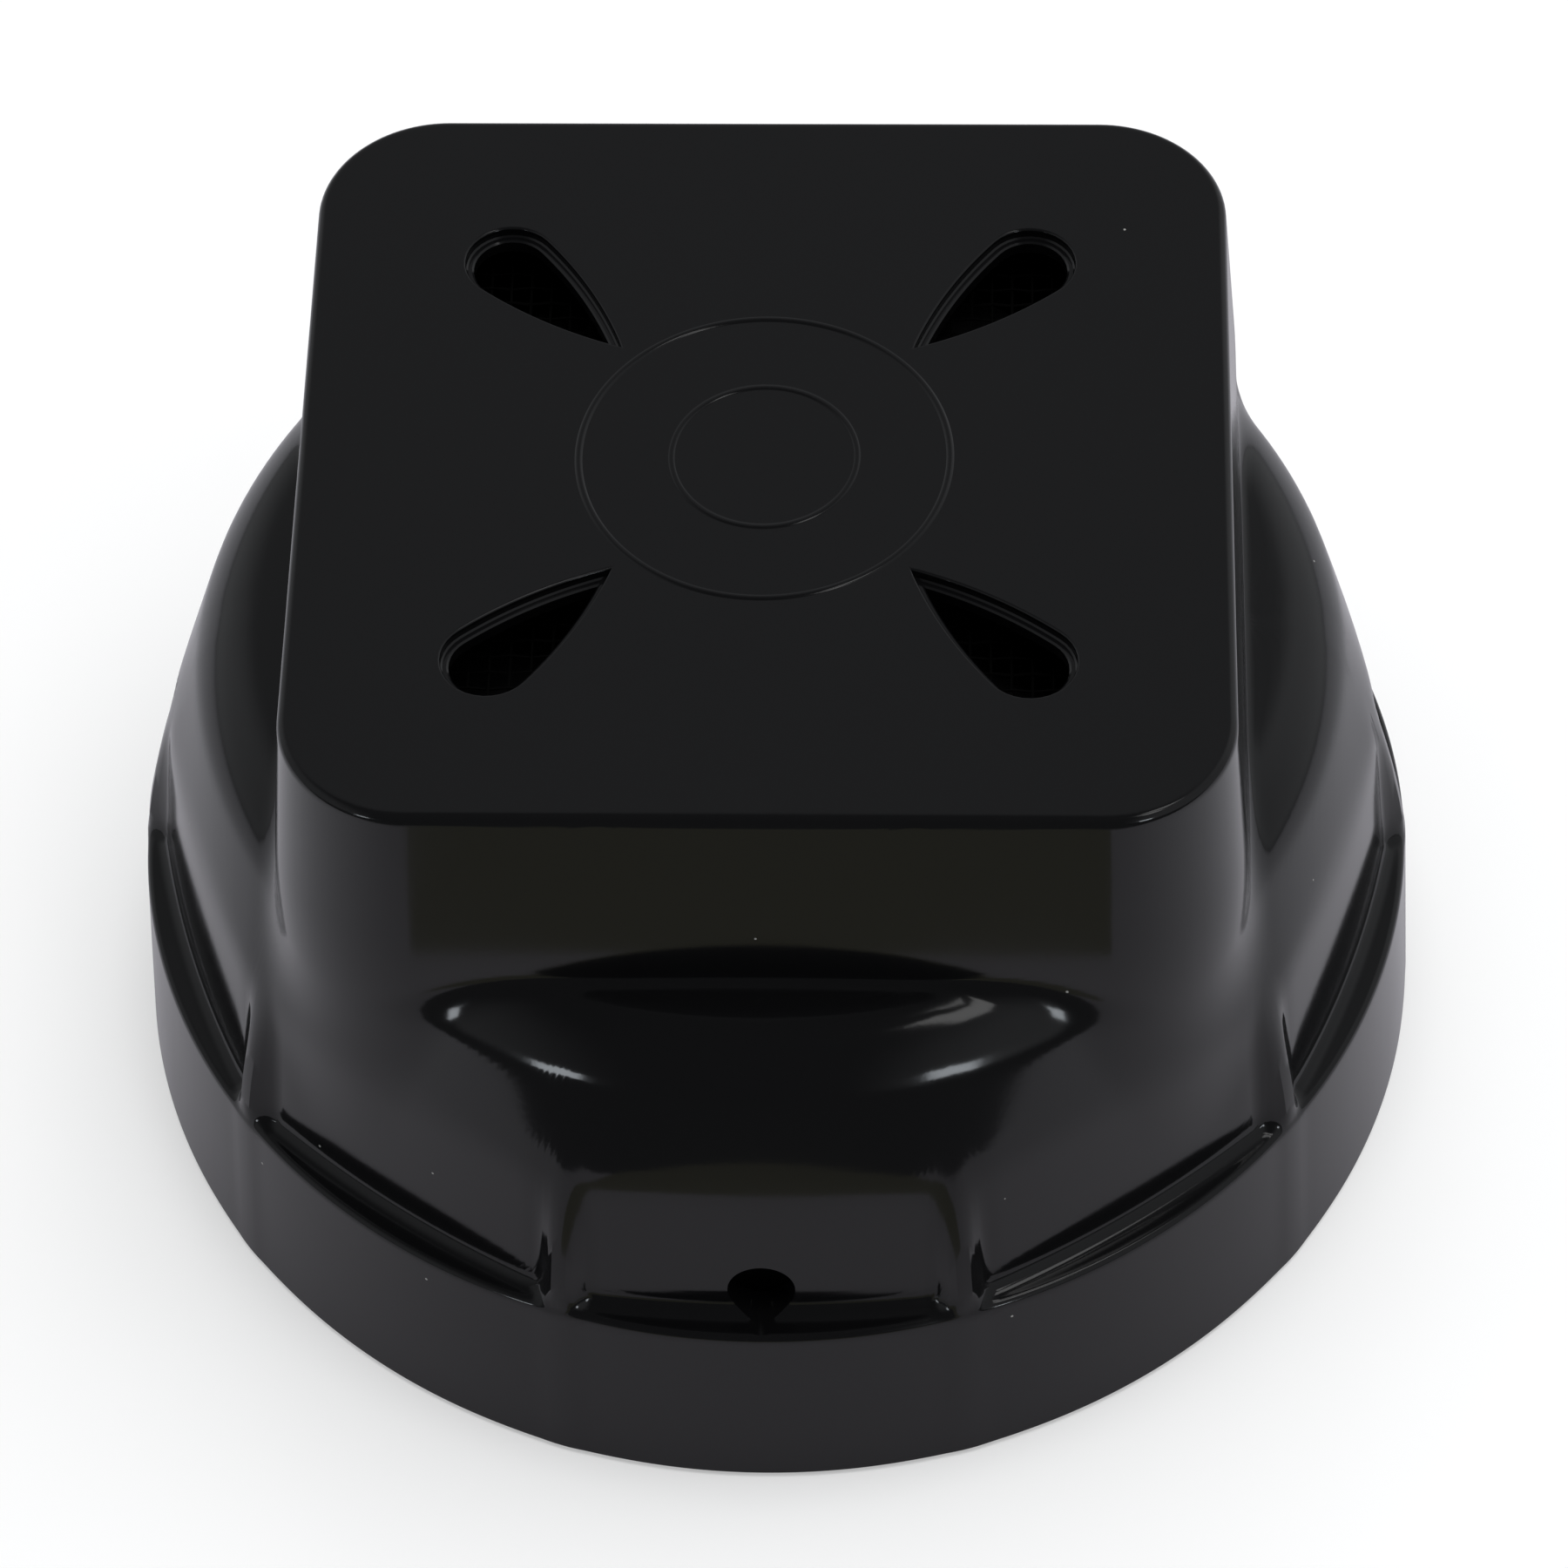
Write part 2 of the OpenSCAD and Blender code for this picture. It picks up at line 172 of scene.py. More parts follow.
def table_top(name, reach, near, height, middle, sides):
    """A flat sheet from y = -near backwards, which isn't part of the station. Its grey may change to the sides."""
    sheet = bpy.data.objects.new(name, bpy.data.meshes.new(name))
    corners = [(-reach, -near), (reach, -near), (reach, reach), (-reach, reach)]
    sheet.data.from_pydata([(x, y, height) for x, y in corners], [], [(0, 1, 2, 3)])
    scene.collection.objects.link(sheet)
    paper = Finish(name + "_paper", Roughness=0.9, Specular_IOR_Level=0.0)
    aside = paper.part(paper.place, 0).math("ABSOLUTE").ramp(0.03, 0.12)
    paper.feed("Base Color", paper.mix(aside * 0.97 + paper.noise(9, 4) * 0.03, tint(*middle), tint(*sides)))
    sheet.data.materials.append(paper.material)
    return sheet, paper


# A white sheet for the eye, and under it the grey one that the glossy walls mirror
white_sheet, white_paper = table_top("white_sheet", 4.0, 4.0, 0.0, (0.6, 0.6, 0.6), (0.6, 0.6, 0.6))
white_paper.shader.inputs["Emission Color"].default_value = tint(1, 1, 1)
white_paper.shader.inputs["Emission Strength"].default_value = 0.4
white_sheet.visible_glossy = False
white_sheet.visible_shadow = False
grey_sheet = table_top("grey_sheet", 4.0, 0.116, -0.0002, (0.41, 0.40, 0.43), (0.62, 0.62, 0.66))[0]
grey_sheet.visible_camera = False
grey_sheet.visible_diffuse = False
grey_sheet.visible_shadow = False
olive_card = table_top("olive_card", 0.034, 0.116, 0.0003, (0.25, 0.245, 0.18), (0.25, 0.245, 0.18))[0]
for corner in olive_card.data.vertices[2:]:
    corner.co.y = -0.086
olive_card.visible_camera = False
olive_card.visible_diffuse = False
olive_card.visible_shadow = False

# The room: pale to the eye, and in the gloss dark in front, brighter at the sides and dim behind
world = bpy.data.worlds.new("studio")
world.use_nodes = True
room = world.node_tree
toward = add(room, "ShaderNodeSeparateXYZ", (), {0: add(room, "ShaderNodeTexCoord")["Generated"]})
glow = toward["X"].ramp(0.2, 0.6) * 0.36 + (toward["X"] * -1).ramp(0.35, 0.8) * 0.3
glow = glow * toward["Z"].ramp(-0.12, 0.1) + toward["Y"].ramp(0.1, 0.6) * 0.2 + 0.1
room_light = add(room, "ShaderNodeBackground", (), {"Color": tint(0.95, 0.97, 1.0), "Strength": glow})
pale = add(room, "ShaderNodeBackground", (), {"Color": tint(0.96, 0.96, 0.96), "Strength": 1.0})
eye = add(room, "ShaderNodeLightPath")["Is Camera Ray"]
both = add(room, "ShaderNodeMixShader", (), {0: eye, 1: room_light["Background"], 2: pale["Background"]})
room.links.new(both[0].socket, room.nodes["World Output"].inputs["Surface"])
scene.world = world
scene.view_settings.view_transform = "Standard"


def soft_box(name, azimuth, elevation, distance, width, height, radiance, colour=(1, 1, 1), mirrored=True):
    """A rectangular light at a bearing round the station (0 is in front, 90 to its right)."""
    data = bpy.data.lights.new(name, "AREA")
    data.shape, data.size, data.size_y = "RECTANGLE", width, height
    data.energy, data.color = radiance * math.pi * width * height, colour
    lamp = bpy.data.objects.new(name, data)
    a, e = math.radians(azimuth), math.radians(elevation)
    away = Vector((math.sin(a) * math.cos(e), -math.cos(a) * math.cos(e), math.sin(e)))
    lamp.matrix_world = Matrix.Translation(away * distance) @ away.to_track_quat("Z", "Y").to_matrix().to_4x4()
    lamp.visible_glossy = mirrored
    scene.collection.objects.link(lamp)
    return lamp


soft_box("overhead", 150, 82, 1.8, 1.7, 1.7, 3.3, mirrored=False)
soft_box("left_window", -34, 2, 1.1, 0.16, 0.16, 9, (0.88, 0.94, 1.0))
soft_box("right_window", 30, 8, 1.1, 0.16, 0.20, 9, (0.88, 0.94, 1.0))
soft_box("high_right", 50, 62, 1.2, 0.20, 0.26, 2.6)
soft_box("far_right", 84, 70, 1.2, 0.25, 0.25, 2.4)

# ---- Base plate --------------------------------------------------------------------------------
# Round plate with a low rim, bayonet slots, four countersunk screw holes and the tray's post:
# one moulding in black ABS with a fine spark-eroded grain.


def eased(node, name, width_mm, finish, body):
    """A moulded copy of a CAD part, with its edges rounded."""
    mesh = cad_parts[node].data.copy()
    mesh.name = name
    mesh.materials.clear()
    piece = bpy.data.objects.new(name, mesh)
    scene.collection.objects.link(piece)
    work = bmesh.new()
    work.from_mesh(mesh)
    bmesh.ops.remove_doubles(work, verts=work.verts, dist=2e-6)
    bmesh.ops.dissolve_limit(work, angle_limit=math.radians(0.6), verts=work.verts, edges=work.edges)
    work.to_mesh(mesh)
    work.free()
    bevel = piece.modifiers.new("ease", "BEVEL")
    bevel.width, bevel.segments, bevel.limit_method = width_mm * MM, 2, "ANGLE"
    bevel.angle_limit = math.radians(35)
    bake(piece)
    shade(piece, finish, body, replaced=(node,))
    return piece


def bake(piece):
    """Turns the modifiers' result into the piece's own plain mesh."""
    bpy.context.view_layer.update()
    result = bpy.data.meshes.new_from_object(piece.evaluated_get(bpy.context.evaluated_depsgraph_get()))
    piece.modifiers.clear()
    old, piece.data = piece.data, result
    bpy.data.meshes.remove(old)


def shade(piece, finish, body, sharp_degrees=32, replaced=()):
    """Smooth shading with sharp creases, one material, and the body that the piece rides on."""
    piece.data.materials.clear()
    piece.data.materials.append(finish.material)
    for polygon in piece.data.polygons:
        polygon.material_index = 0
    piece.data.shade_smooth()
    piece.data.set_sharp_from_angle(angle=math.radians(sharp_degrees))
    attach(piece, body)
    if replaced:
        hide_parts(*replaced)


def new_piece(name, vertices, polygons):
    mesh = bpy.data.meshes.new(name)
    mesh.from_pydata([tuple(v) for v in vertices], [], [tuple(p) for p in polygons])
    mesh.validate()
    piece = bpy.data.objects.new(name, mesh)
    scene.collection.objects.link(piece)
    return piece


grained_abs = Finish("grained_abs", IOR=1.46)
scuff = grained_abs.noise(14, 4, 0.6).ramp(0.45, 0.75)
grained_abs.feed("Base Color", grained_abs.mix(scuff, tint(0.012, 0.012, 0.013), tint(0.026, 0.026, 0.027)))
grained_abs.feed("Roughness", scuff * 0.15 + grained_abs.noise(1.2, 2) * 0.1 + 0.38)
grained_abs.bump(grained_abs.noise(0.35, 3, 0.6), 0.03)
eased("base_plate", "base_moulding", 0.25, grained_abs, "base")

# ---- Foot pads ---------------------------------------------------------------------------------
# Four stamped rubber discs glued into recesses under the base, each with a grip ring round its foot.


def softened(profile, steps=4):
    """Rounds the corners of a closed outline of (radius, height, rounding) points."""
    points = []
    count = len(profile)
    for i, (r, z, rounding) in enumerate(profile):
        here = Vector((r, z))
        before = Vector(profile[i - 1][:2]) - here
        after = Vector(profile[(i + 1) % count][:2]) - here
        if rounding <= 0 or before.length < 1e-6 or after.length < 1e-6:
            points.append(here)
            continue
        angle = before.angle(after)
        reach = min(rounding / math.tan(angle / 2), before.length * 0.49, after.length * 0.49)
        start, stop = here + before.normalized() * reach, here + after.normalized() * reach
        for t in np.linspace(0, 1, steps + 1):
            points.append(start * (1 - t) ** 2 + here * 2 * t * (1 - t) + stop * t * t)
    return points


def turned(name, profile, sides=96, wave=None):
    """A solid of revolution of a closed outline. wave(angle, r, z) may change the radius."""
    points = softened(profile)
    vertices, polygons = [], []
    for i in range(sides):
        angle = 2 * math.pi * i / sides
        for r, z in points:
            reach = wave(angle, r, z) if wave else r
            vertices.append((reach * math.cos(angle) * MM, reach * math.sin(angle) * MM, z * MM))
    rows = len(points)
    for i in range(sides):
        for k in range(rows):
            a, b = i * rows, (i + 1) % sides * rows
            polygons.append((a + k, b + k, b + (k + 1) % rows, a + (k + 1) % rows))
    piece = new_piece(name, vertices, polygons)
    tidy_mesh(piece)
    return piece


def tidy_mesh(piece):
    """Merges doubles and points every face outwards."""
    work = bmesh.new()
    work.from_mesh(piece.data)
    bmesh.ops.remove_doubles(work, verts=work.verts, dist=1e-7)
    bmesh.ops.dissolve_degenerate(work, dist=1e-8, edges=work.edges)
    bmesh.ops.recalc_face_normals(work, faces=work.faces)
    work.to_mesh(piece.data)
    work.free()


def shifted(piece, x, y, z=0.0, turn=0.0):
    """Turns a piece about Z and moves it in its own mesh."""
    piece.data.transform(Matrix.Translation(Vector((x, y, z)) * MM) @ Matrix.Rotation(turn, 4, "Z"))
    return piece


copies_tree = bpy.data.node_groups.new("turned_copies", "GeometryNodeTree")
copies_inputs = {name: copies_tree.interface.new_socket(name, in_out="INPUT", socket_type=kind).identifier
                 for name, kind in (("Part", "NodeSocketGeometry"), ("Copies", "NodeSocketInt"),
                                    ("Start angle", "NodeSocketFloat"), ("Finish", "NodeSocketMaterial"))}
copies_tree.interface.new_socket("Geometry", in_out="OUTPUT", socket_type="NodeSocketGeometry")
given = add(copies_tree, "NodeGroupInput")
axis_points = add(copies_tree, "GeometryNodeMeshLine", (), {"Count": given["Copies"], "Offset": (0, 0, 0)})
turn_step = add(copies_tree, "GeometryNodeInputIndex")["Index"] * (2 * math.pi) / given["Copies"]
turn_of = add(copies_tree, "ShaderNodeCombineXYZ", (), {"Z": turn_step + given["Start angle"]})
placed = add(copies_tree, "GeometryNodeInstanceOnPoints", (), {
    "Points": axis_points["Mesh"], "Instance": given["Part"], "Rotation": turn_of["Vector"]})
whole = add(copies_tree, "GeometryNodeRealizeInstances", (), {"Geometry": placed["Instances"]})
dressed = add(copies_tree, "GeometryNodeSetMaterial", (), {"Geometry": whole["Geometry"],
                                                          "Material": given["Finish"]})
copies_out = add(copies_tree, "NodeGroupOutput", (), {0: dressed["Geometry"]})


def turned_copies(part, copies, finish=None, start=0.0):
    """Repeats a part about the station's axis."""
    modifier = part.modifiers.new("copies", "NODES")
    modifier.node_group = copies_tree
    modifier[copies_inputs["Copies"]] = copies
    modifier[copies_inputs["Start angle"]] = start
    if finish:
        modifier[copies_inputs["Finish"]] = finish.material
    bake(part)
    return part


rubber = Finish("pad_rubber", Specular_IOR_Level=0.3)
rubber.feed("Base Color", rubber.mix(rubber.noise(3, 3), tint(0.018, 0.018, 0.018), tint(0.04, 0.039, 0.037)))
rubber.feed("Roughness", rubber.noise(2, 2) * 0.15 + 0.7)
rubber.bump(rubber.noise(0.4, 2), 0.04)
pad = turned("foot_discs", [(0, 0.25, 0), (3.6, 0.25, 0.2), (3.9, 0, 0.1), (6.0, 0, 0.3), (6.0, 1.3, 0.15),
                            (0, 1.3, 0)], 48)
turned_copies(shifted(pad, 33, 0), 4, rubber)
shade(pad, rubber, "base", replaced=("foot_pads",))

# ---- Seal of the base --------------------------------------------------------------------------
# A ring of closed-cell foam pressed into the groove of the rim. The cover's gutter sits on it.
foam = Finish("seal_foam", Roughness=0.95, Specular_IOR_Level=0.15)
pores = foam.cells(0.55)["Distance"]
# The pores are painted darker than the cell walls, using the same field as the bump: painted shade in the pore
# hollows.
foam.feed("Base Color", foam.mix(pores.ramp(0.1, 0.6), tint(0.012, 0.012, 0.013), tint(0.055, 0.055, 0.058)))
foam.bump(pores, 0.12)
seal = turned("base_foam", [(45.5, 11.1, 0.1), (47.4, 11.1, 0.1), (47.4, 13.7, 0.6), (45.5, 13.7, 0.6)], 160)
shade(seal, foam, "base", replaced=("base_seal",))

# ---- Tray pivot --------------------------------------------------------------------------------
# A stainless washer and a cross-head screw hold the bait tray on the base's post.
steel = Finish("steel", Metallic=1.0)
wear = steel.noise(0.8, 3, place=steel.stretched(1, 1, 12))
steel.feed("Base Color", steel.mix(wear, tint(0.52, 0.52, 0.53), tint(0.66, 0.66, 0.66)))
steel.feed("Roughness", wear.ramp(0.3, 0.8) * 0.2 + 0.22)
steel.bump(wear, 0.008)
washer = turned("pivot_ring", [(1.7, 6.6, 0.08), (7.0, 6.6, 0.12), (7.0, 7.2, 0.12), (1.7, 7.2, 0.08)], 72)
shade(washer, steel, "base", replaced=("pivot_washer",))


def joined(name, solids):
    """One piece from several lists of vertices and faces."""
    vertices, polygons = [], []
    for v, p in solids:
        first = len(vertices)
        vertices += v
        polygons += [[first + i for i in face] for face in p]
    piece = new_piece(name, vertices, polygons)
    tidy_mesh(piece)
    return piece


def combine(piece, other, operation):
    """Boolean with another mesh, which is then removed."""
    modifier = piece.modifiers.new("combine", "BOOLEAN")
    modifier.operation, modifier.solver, modifier.object = operation, "MANIFOLD", other
    bake(piece)
    bpy.data.objects.remove(other)


def block(x0, x1, y0, y1, z0, z1, taper=0.0):
    """A box as vertices and faces, its low end drawn in by taper."""
    vertices = [Vector((x + (taper if x == x0 else -taper) * (z == z0),
                        y + (taper if y == y0 else -taper) * (z == z0), z)) * MM
                for z in (z0, z1) for x, y in ((x0, y0), (x1, y0), (x1, y1), (x0, y1))]
    return vertices, [(3, 2, 1, 0), (4, 5, 6, 7), (0, 1, 5, 4), (1, 2, 6, 5), (2, 3, 7, 6), (3, 0, 4, 7)]


def cross_screw(name, shank_r, head_r, head_h, length):
    """A pan-head screw, head up: a domed head, a cross recess and a threaded shank below z = 0."""
    turns = length / 1.1
    thread = [(shank_r - 0.3 + (0.28 if k % 2 else 0.0), -length + 0.6 + k * 0.55, 0.0)
              for k in range(int(turns * 2) - 1)]
    profile = [(0, -length, 0)] + [(shank_r - 0.5, -length, 0.1)] + thread + [
        (shank_r - 0.2, 0, 0.0), (head_r, 0, 0.1), (head_r, head_h * 0.45, 0.25), (head_r * 0.72, head_h, 0.5),
        (0, head_h, 0)]
    screw = turned(name, profile, 40)
    half, slot_w = head_r * 0.62, head_r * 0.11
    bars = [block(-half, half, -slot_w, slot_w, head_h * 0.35, head_h + 1, 0.12),
            block(-slot_w, slot_w, -half, half, head_h * 0.35, head_h + 1, 0.12)]
    for bar in bars:
        combine(screw, joined("recess", [bar]), "DIFFERENCE")
    return screw


pivot = shifted(cross_screw("pivot_bolt", 1.5, 3.2, 1.6, 5.0), 0, 0, 7.2, 0.6)
shade(pivot, steel, "base", replaced=("pivot_screw",))

# ---- Bait tray ---------------------------------------------------------------------------------
# Moulded grey polypropylene: four bays, a ramp down from each entry hole and a socket for the liquid.
tray_plastic = Finish("tray_plastic", IOR=1.49)
worn = tray_plastic.noise(9, 4, 0.6).ramp(0.4, 0.75)
crumb = (tray_plastic.cells(1.7)["Distance"] < 0.09) * 0.6
tray_plastic.feed("Base Color", tray_plastic.mix(
    worn * 0.5 + crumb, tint(0.085, 0.09, 0.097), tint(0.15, 0.14, 0.12)))
tray_plastic.feed("Roughness", worn * 0.12 + tray_plastic.noise(1.5, 2) * 0.1 + 0.32)
tray_plastic.bump(tray_plastic.noise(0.4, 3), 0.015)
eased("bait_tray", "tray_moulding", 0.22, tray_plastic, "tray")

# ---- Granular bait -----------------------------------------------------------------------------
# Loose grains of crushed cereal bait, heaped in the left and right bays of the tray.
bay_in, bay_out, bay_half = 22.2, 40.0, math.radians(36.5)
heap_low, heap_high = 5.85, 8.1


def grain_shape(name, seed, size):
    """A crushed grain: a lumpy solid of a few dozen faces."""
    work = bmesh.new()
    bmesh.ops.create_icosphere(work, subdivisions=1, radius=size * MM)
    spread = np.random.default_rng(seed)
    for vertex in work.verts:
        vertex.co *= spread.uniform(0.72, 1.12)
        vertex.co.z *= 0.72
    mesh = bpy.data.meshes.new(name)
    work.to_mesh(mesh)
    work.free()
    grain = bpy.data.objects.new(name, mesh)
    scene.collection.objects.link(grain)
    return grain


rows_across, rows_along = 26, 60
heap_points, heap_faces = [], []
lumps = np.random.default_rng(11)
for i in range(rows_along + 1):
    for k in range(rows_across + 1):
        s, t = i / rows_along * 2 - 1, k / rows_across * 2 - 1
        bearing, r = s * bay_half, (bay_in + bay_out) / 2 + t * (bay_out - bay_in) / 2
        edge = (1 - s ** 6) * (1 - t ** 6)
        rise = heap_low + 0.25 + (heap_high - heap_low) * edge * (0.72 + 0.2 * math.sin(3.1 * s + 2 * t))
        heap_points.append((r * math.cos(bearing), r * math.sin(bearing), 
                            rise + lumps.uniform(-0.1, 0.1) * edge))
top_count = len(heap_points)
heap_points += [(x, y, heap_low) for x, y, _ in heap_points]
for i in range(rows_along):
    for k in range(rows_across):
        a = i * (rows_across + 1) + k
        b = a + rows_across + 1
        heap_faces.append((a, a + 1, b + 1, b))
        heap_faces.append((top_count + a, top_count + b, top_count + b + 1, top_count + a + 1))
rim = [k for k in range(rows_across + 1)]
rim += [i * (rows_across + 1) + rows_across for i in range(1, rows_along + 1)]
rim += [rows_along * (rows_across + 1) + k for k in range(rows_across - 1, -1, -1)]
rim += [i * (rows_across + 1) for i in range(rows_along - 1, 0, -1)]
for a, b in zip(rim, rim[1:] + rim[:1]):
    heap_faces.append((a, b, top_count + b, top_count + a))
heap = new_piece("granule_heaps", [Vector(p) * MM for p in heap_points], heap_faces)
tidy_mesh(heap)

grains_tree = bpy.data.node_groups.new("scattered_grains", "GeometryNodeTree")
grain_inputs = {name: grains_tree.interface.new_socket(name, in_out="INPUT", socket_type=kind).identifier
                for name, kind in (("Heap", "NodeSocketGeometry"), ("Grain", "NodeSocketObject"),
                                   ("Spacing", "NodeSocketFloat"), ("Seed", "NodeSocketInt"),
                                   ("Finish", "NodeSocketMaterial"))}
grains_tree.interface.new_socket("Geometry", in_out="OUTPUT", socket_type="NodeSocketGeometry")
given = add(grains_tree, "NodeGroupInput")
facing_up = add(grains_tree, "ShaderNodeSeparateXYZ", (), {0: add(grains_tree, "GeometryNodeInputNormal")[0]})["Z"]
spots = add(grains_tree, "GeometryNodeDistributePointsOnFaces", {"distribute_method": "POISSON"}, {
    "Mesh": given["Heap"], "Selection": facing_up > 0.3, "Distance Min": given["Spacing"],
    "Density Max": 3.0e6, "Density Factor": 1.0, "Seed": given["Seed"]})
tumble = add(grains_tree, "FunctionNodeRandomValue", {"data_type": "FLOAT_VECTOR"}, {
    "Min": (-3.1, -3.1, -3.1), "Max": (3.1, 3.1, 3.1), "Seed": given["Seed"]})
sizes = add(grains_tree, "FunctionNodeRandomValue", {"data_type": "FLOAT"}, {
    2: 0.65, 3: 1.15, "Seed": given["Seed"]})
strewn = add(grains_tree, "GeometryNodeInstanceOnPoints", (), {
    "Points": spots["Points"], "Rotation": tumble["Value"], "Scale": sizes[1],
    "Instance": add(grains_tree, "GeometryNodeObjectInfo", (), {"Object": given["Grain"]})["Geometry"]})
both = add(grains_tree, "GeometryNodeJoinGeometry")
grains_tree.links.new(strewn["Instances"].socket, both.node.inputs[0])
grains_tree.links.new(given["Heap"].socket, both.node.inputs[0])
whole = add(grains_tree, "GeometryNodeRealizeInstances", (), {"Geometry": both["Geometry"]})
dressed = add(grains_tree, "GeometryNodeSetMaterial", (), {"Geometry": whole["Geometry"],
                                                          "Material": given["Finish"]})
add(grains_tree, "NodeGroupOutput", (), {0: dressed["Geometry"]})

bait_grain = Finish("bait_grain", Roughness=0.75, Specular_IOR_Level=0.3)
batch = bait_grain.cells(0.85)["Color"]
bait_grain.feed("Base Color", bait_grain.mix(
    bait_grain.part(batch, 0), tint(0.20, 0.105, 0.035), tint(0.46, 0.29, 0.11)))
bait_grain.bump(bait_grain.noise(0.25, 3), 0.05)
grain = grain_shape("grain", 5, 0.62)
scatter = heap.modifiers.new("grains", "NODES")
scatter.node_group = grains_tree
scatter[grain_inputs["Grain"]] = grain
scatter[grain_inputs["Spacing"]] = 0.95 * MM
scatter[grain_inputs["Seed"]] = 3
scatter[grain_inputs["Finish"]] = bait_grain.material
bake(heap)
bpy.data.objects.remove(grain)
turned_copies(heap, 2, bait_grain)
shade(heap, bait_grain, "tray", 70, replaced=("granular_bait",))

# ---- Bait blocks -------------------------------------------------------------------------------
# Four pressed blocks of bait, two in the front bay and two in the back, with a cross pressed on top.
block_side, block_rise = 9.0, 6.0


def pressed_block(name, seed):
    """A crumbly block: rounded edges, a shallow cross in its top and small pits."""
    work = bmesh.new()
    bmesh.ops.create_cube(work, size=2)
    bmesh.ops.subdivide_edges(work, edges=work.edges, cuts=22, use_grid_fill=True)
    spread = np.random.default_rng(seed)
    for vertex in work.verts:
        x, y, z = vertex.co
        power = (abs(x) ** 14 + abs(y) ** 14 + abs(z) ** 14) ** (1 / 14)
        x, y, z = (c / power for c in (x, y, z))
        groove = max(0, 1 - min(abs(x), abs(y)) / 0.11) if z > 0.5 else 0
        pit = spread.uniform(0, 0.035) * (1 if z > -0.9 else 0)
        vertex.co = Vector((x * (1 - pit) * block_side / 2, y * (1 - pit) * block_side / 2,
                            (z * (1 - pit * 0.7) - groove * 0.14 + 1) * block_rise / 2)) * MM
    mesh = bpy.data.meshes.new(name)
    work.to_mesh(mesh)
    work.free()
    piece = bpy.data.objects.new(name, mesh)
    scene.collection.objects.link(piece)
    return piece


bait_wax = Finish("bait_wax", IOR=1.45, Subsurface_Weight=0.0)
flake = bait_wax.cells(1.1)["Distance"].ramp(0.15, 0.45)
bait_wax.feed("Base Color", bait_wax.mix(flake, tint(0.20, 0.30, 0.10), tint(0.035, 0.17, 0.075)))
bait_wax.feed("Roughness", flake * 0.15 + 0.5)
bait_wax.bump(bait_wax.noise(0.5, 4, 0.65), 0.12)
pair = [shifted(pressed_block("bait_cakes", 2), 12.4, -32.5, 5.8),
        shifted(pressed_block("bait_cake_left", 7), -12.4, -32.5, 5.8)]
left_points = [v.co.copy() for v in pair[1].data.vertices]
left_faces = [tuple(p.vertices) for p in pair[1].data.polygons]
right_points = [v.co.copy() for v in pair[0].data.vertices]
right_faces = [tuple(p.vertices) for p in pair[0].data.polygons]
for cake in pair:
    bpy.data.objects.remove(cake)
cakes = joined("bait_cakes", [(right_points, right_faces), (left_points, left_faces)])
turned_copies(cakes, 2, bait_wax)
shade(cakes, bait_wax, "tray", 50, replaced=("bait_blocks",))

# ---- Liquid reservoir --------------------------------------------------------------------------
# A clear blown pot with a screw neck, standing in the tray's socket, half full of amber liquid.
clear = Finish("clear_pot", IOR=1.49, Transmission_Weight=1.0)
haze = clear.noise(7, 4).ramp(0.4, 0.8)
clear.feed("Base Color", clear.mix(haze, tint(0.93, 0.96, 0.97), tint(0.86, 0.90, 0.92)))
clear.feed("Roughness", haze * 0.1 + 0.04)
pot = turned("reservoir_pot", [
    (0, 10.0, 0), (17.6, 10.0, 0.4), (18.2, 10.4, 0.4), (19.2, 11.2, 1.2), (19.2, 27.0, 1.6),
    (14.0, 27.2, 0.5),
    (14.0, 28.6, 0.1), (13.6, 28.7, 0.1), (13.6, 29.3, 0.1), (14.0, 29.4, 0.1), (14.0, 30.0, 0.1),
    (13.6, 30.1, 0.1),
    (13.6, 30.7, 0.1), (14.0, 30.8, 0.1), (14.0, 32.0, 0.2), (12.8, 32.0, 0.2), (12.8, 25.8, 0.8),
    (18.0, 25.8, 1.0),
    (18.0, 11.2, 1.0), (0, 11.2, 0)], 128)
shade(pot, clear, "reservoir", replaced=("liquid_reservoir",))
amber = Finish("amber_liquid", IOR=1.37, Transmission_Weight=1.0, Roughness=0.0)
amber.feed("Base Color", amber.mix(amber.noise(12, 2), tint(0.80, 0.42, 0.09), tint(0.88, 0.52, 0.15)))
fill = turned("liquid_fill", [
    (3.15, 11.95, 0), (3.15, 21.75, 0.3), (4.0, 21.3, 0.6), (17.0, 21.3, 0.6), (17.9, 21.85, 0.05),
    (17.9, 11.35, 0.9), (0, 11.35, 0), (0, 11.95, 0)], 128)
shade(fill, amber, "reservoir", replaced=("liquid_bait",))
seal_red = Finish("cap_seal_rubber", Specular_IOR_Level=0.3)
seal_red.feed("Base Color", seal_red.mix(
    seal_red.noise(1.5, 3), tint(0.17, 0.03, 0.022), tint(0.24, 0.05, 0.035)))
seal_red.feed("Roughness", seal_red.noise(1, 2) * 0.2 + 0.5)
gasket = turned("cap_gasket", [(12.8, 32.0, 0.15), (14.0, 32.0, 0.15),
                              (14.0, 32.8, 0.2), (12.8, 32.8, 0.2)], 96)
shade(gasket, seal_red, "reservoir", replaced=("cap_seal",))

# ---- Wick --------------------------------------------------------------------------------------
# A twisted cotton cord that stands in the liquid and ends in a felted feeding pad above the cap.
cotton = Finish("wick_cotton", Roughness=0.95, Specular_IOR_Level=0.1)
fibres = cotton.noise(0.35, 4, 0.7, warp=1.5)
damp = cotton.part(cotton.place, 2).ramp(0.036, 0.012) * 0.5
cotton.feed("Base Color", cotton.mix(fibres.ramp(0.3, 0.75) * 0.6 + damp * 0.4, tint(0.80, 0.77, 0.68),
                                     tint(0.56, 0.45, 0.28)))
cotton.bump(fibres, 0.12)


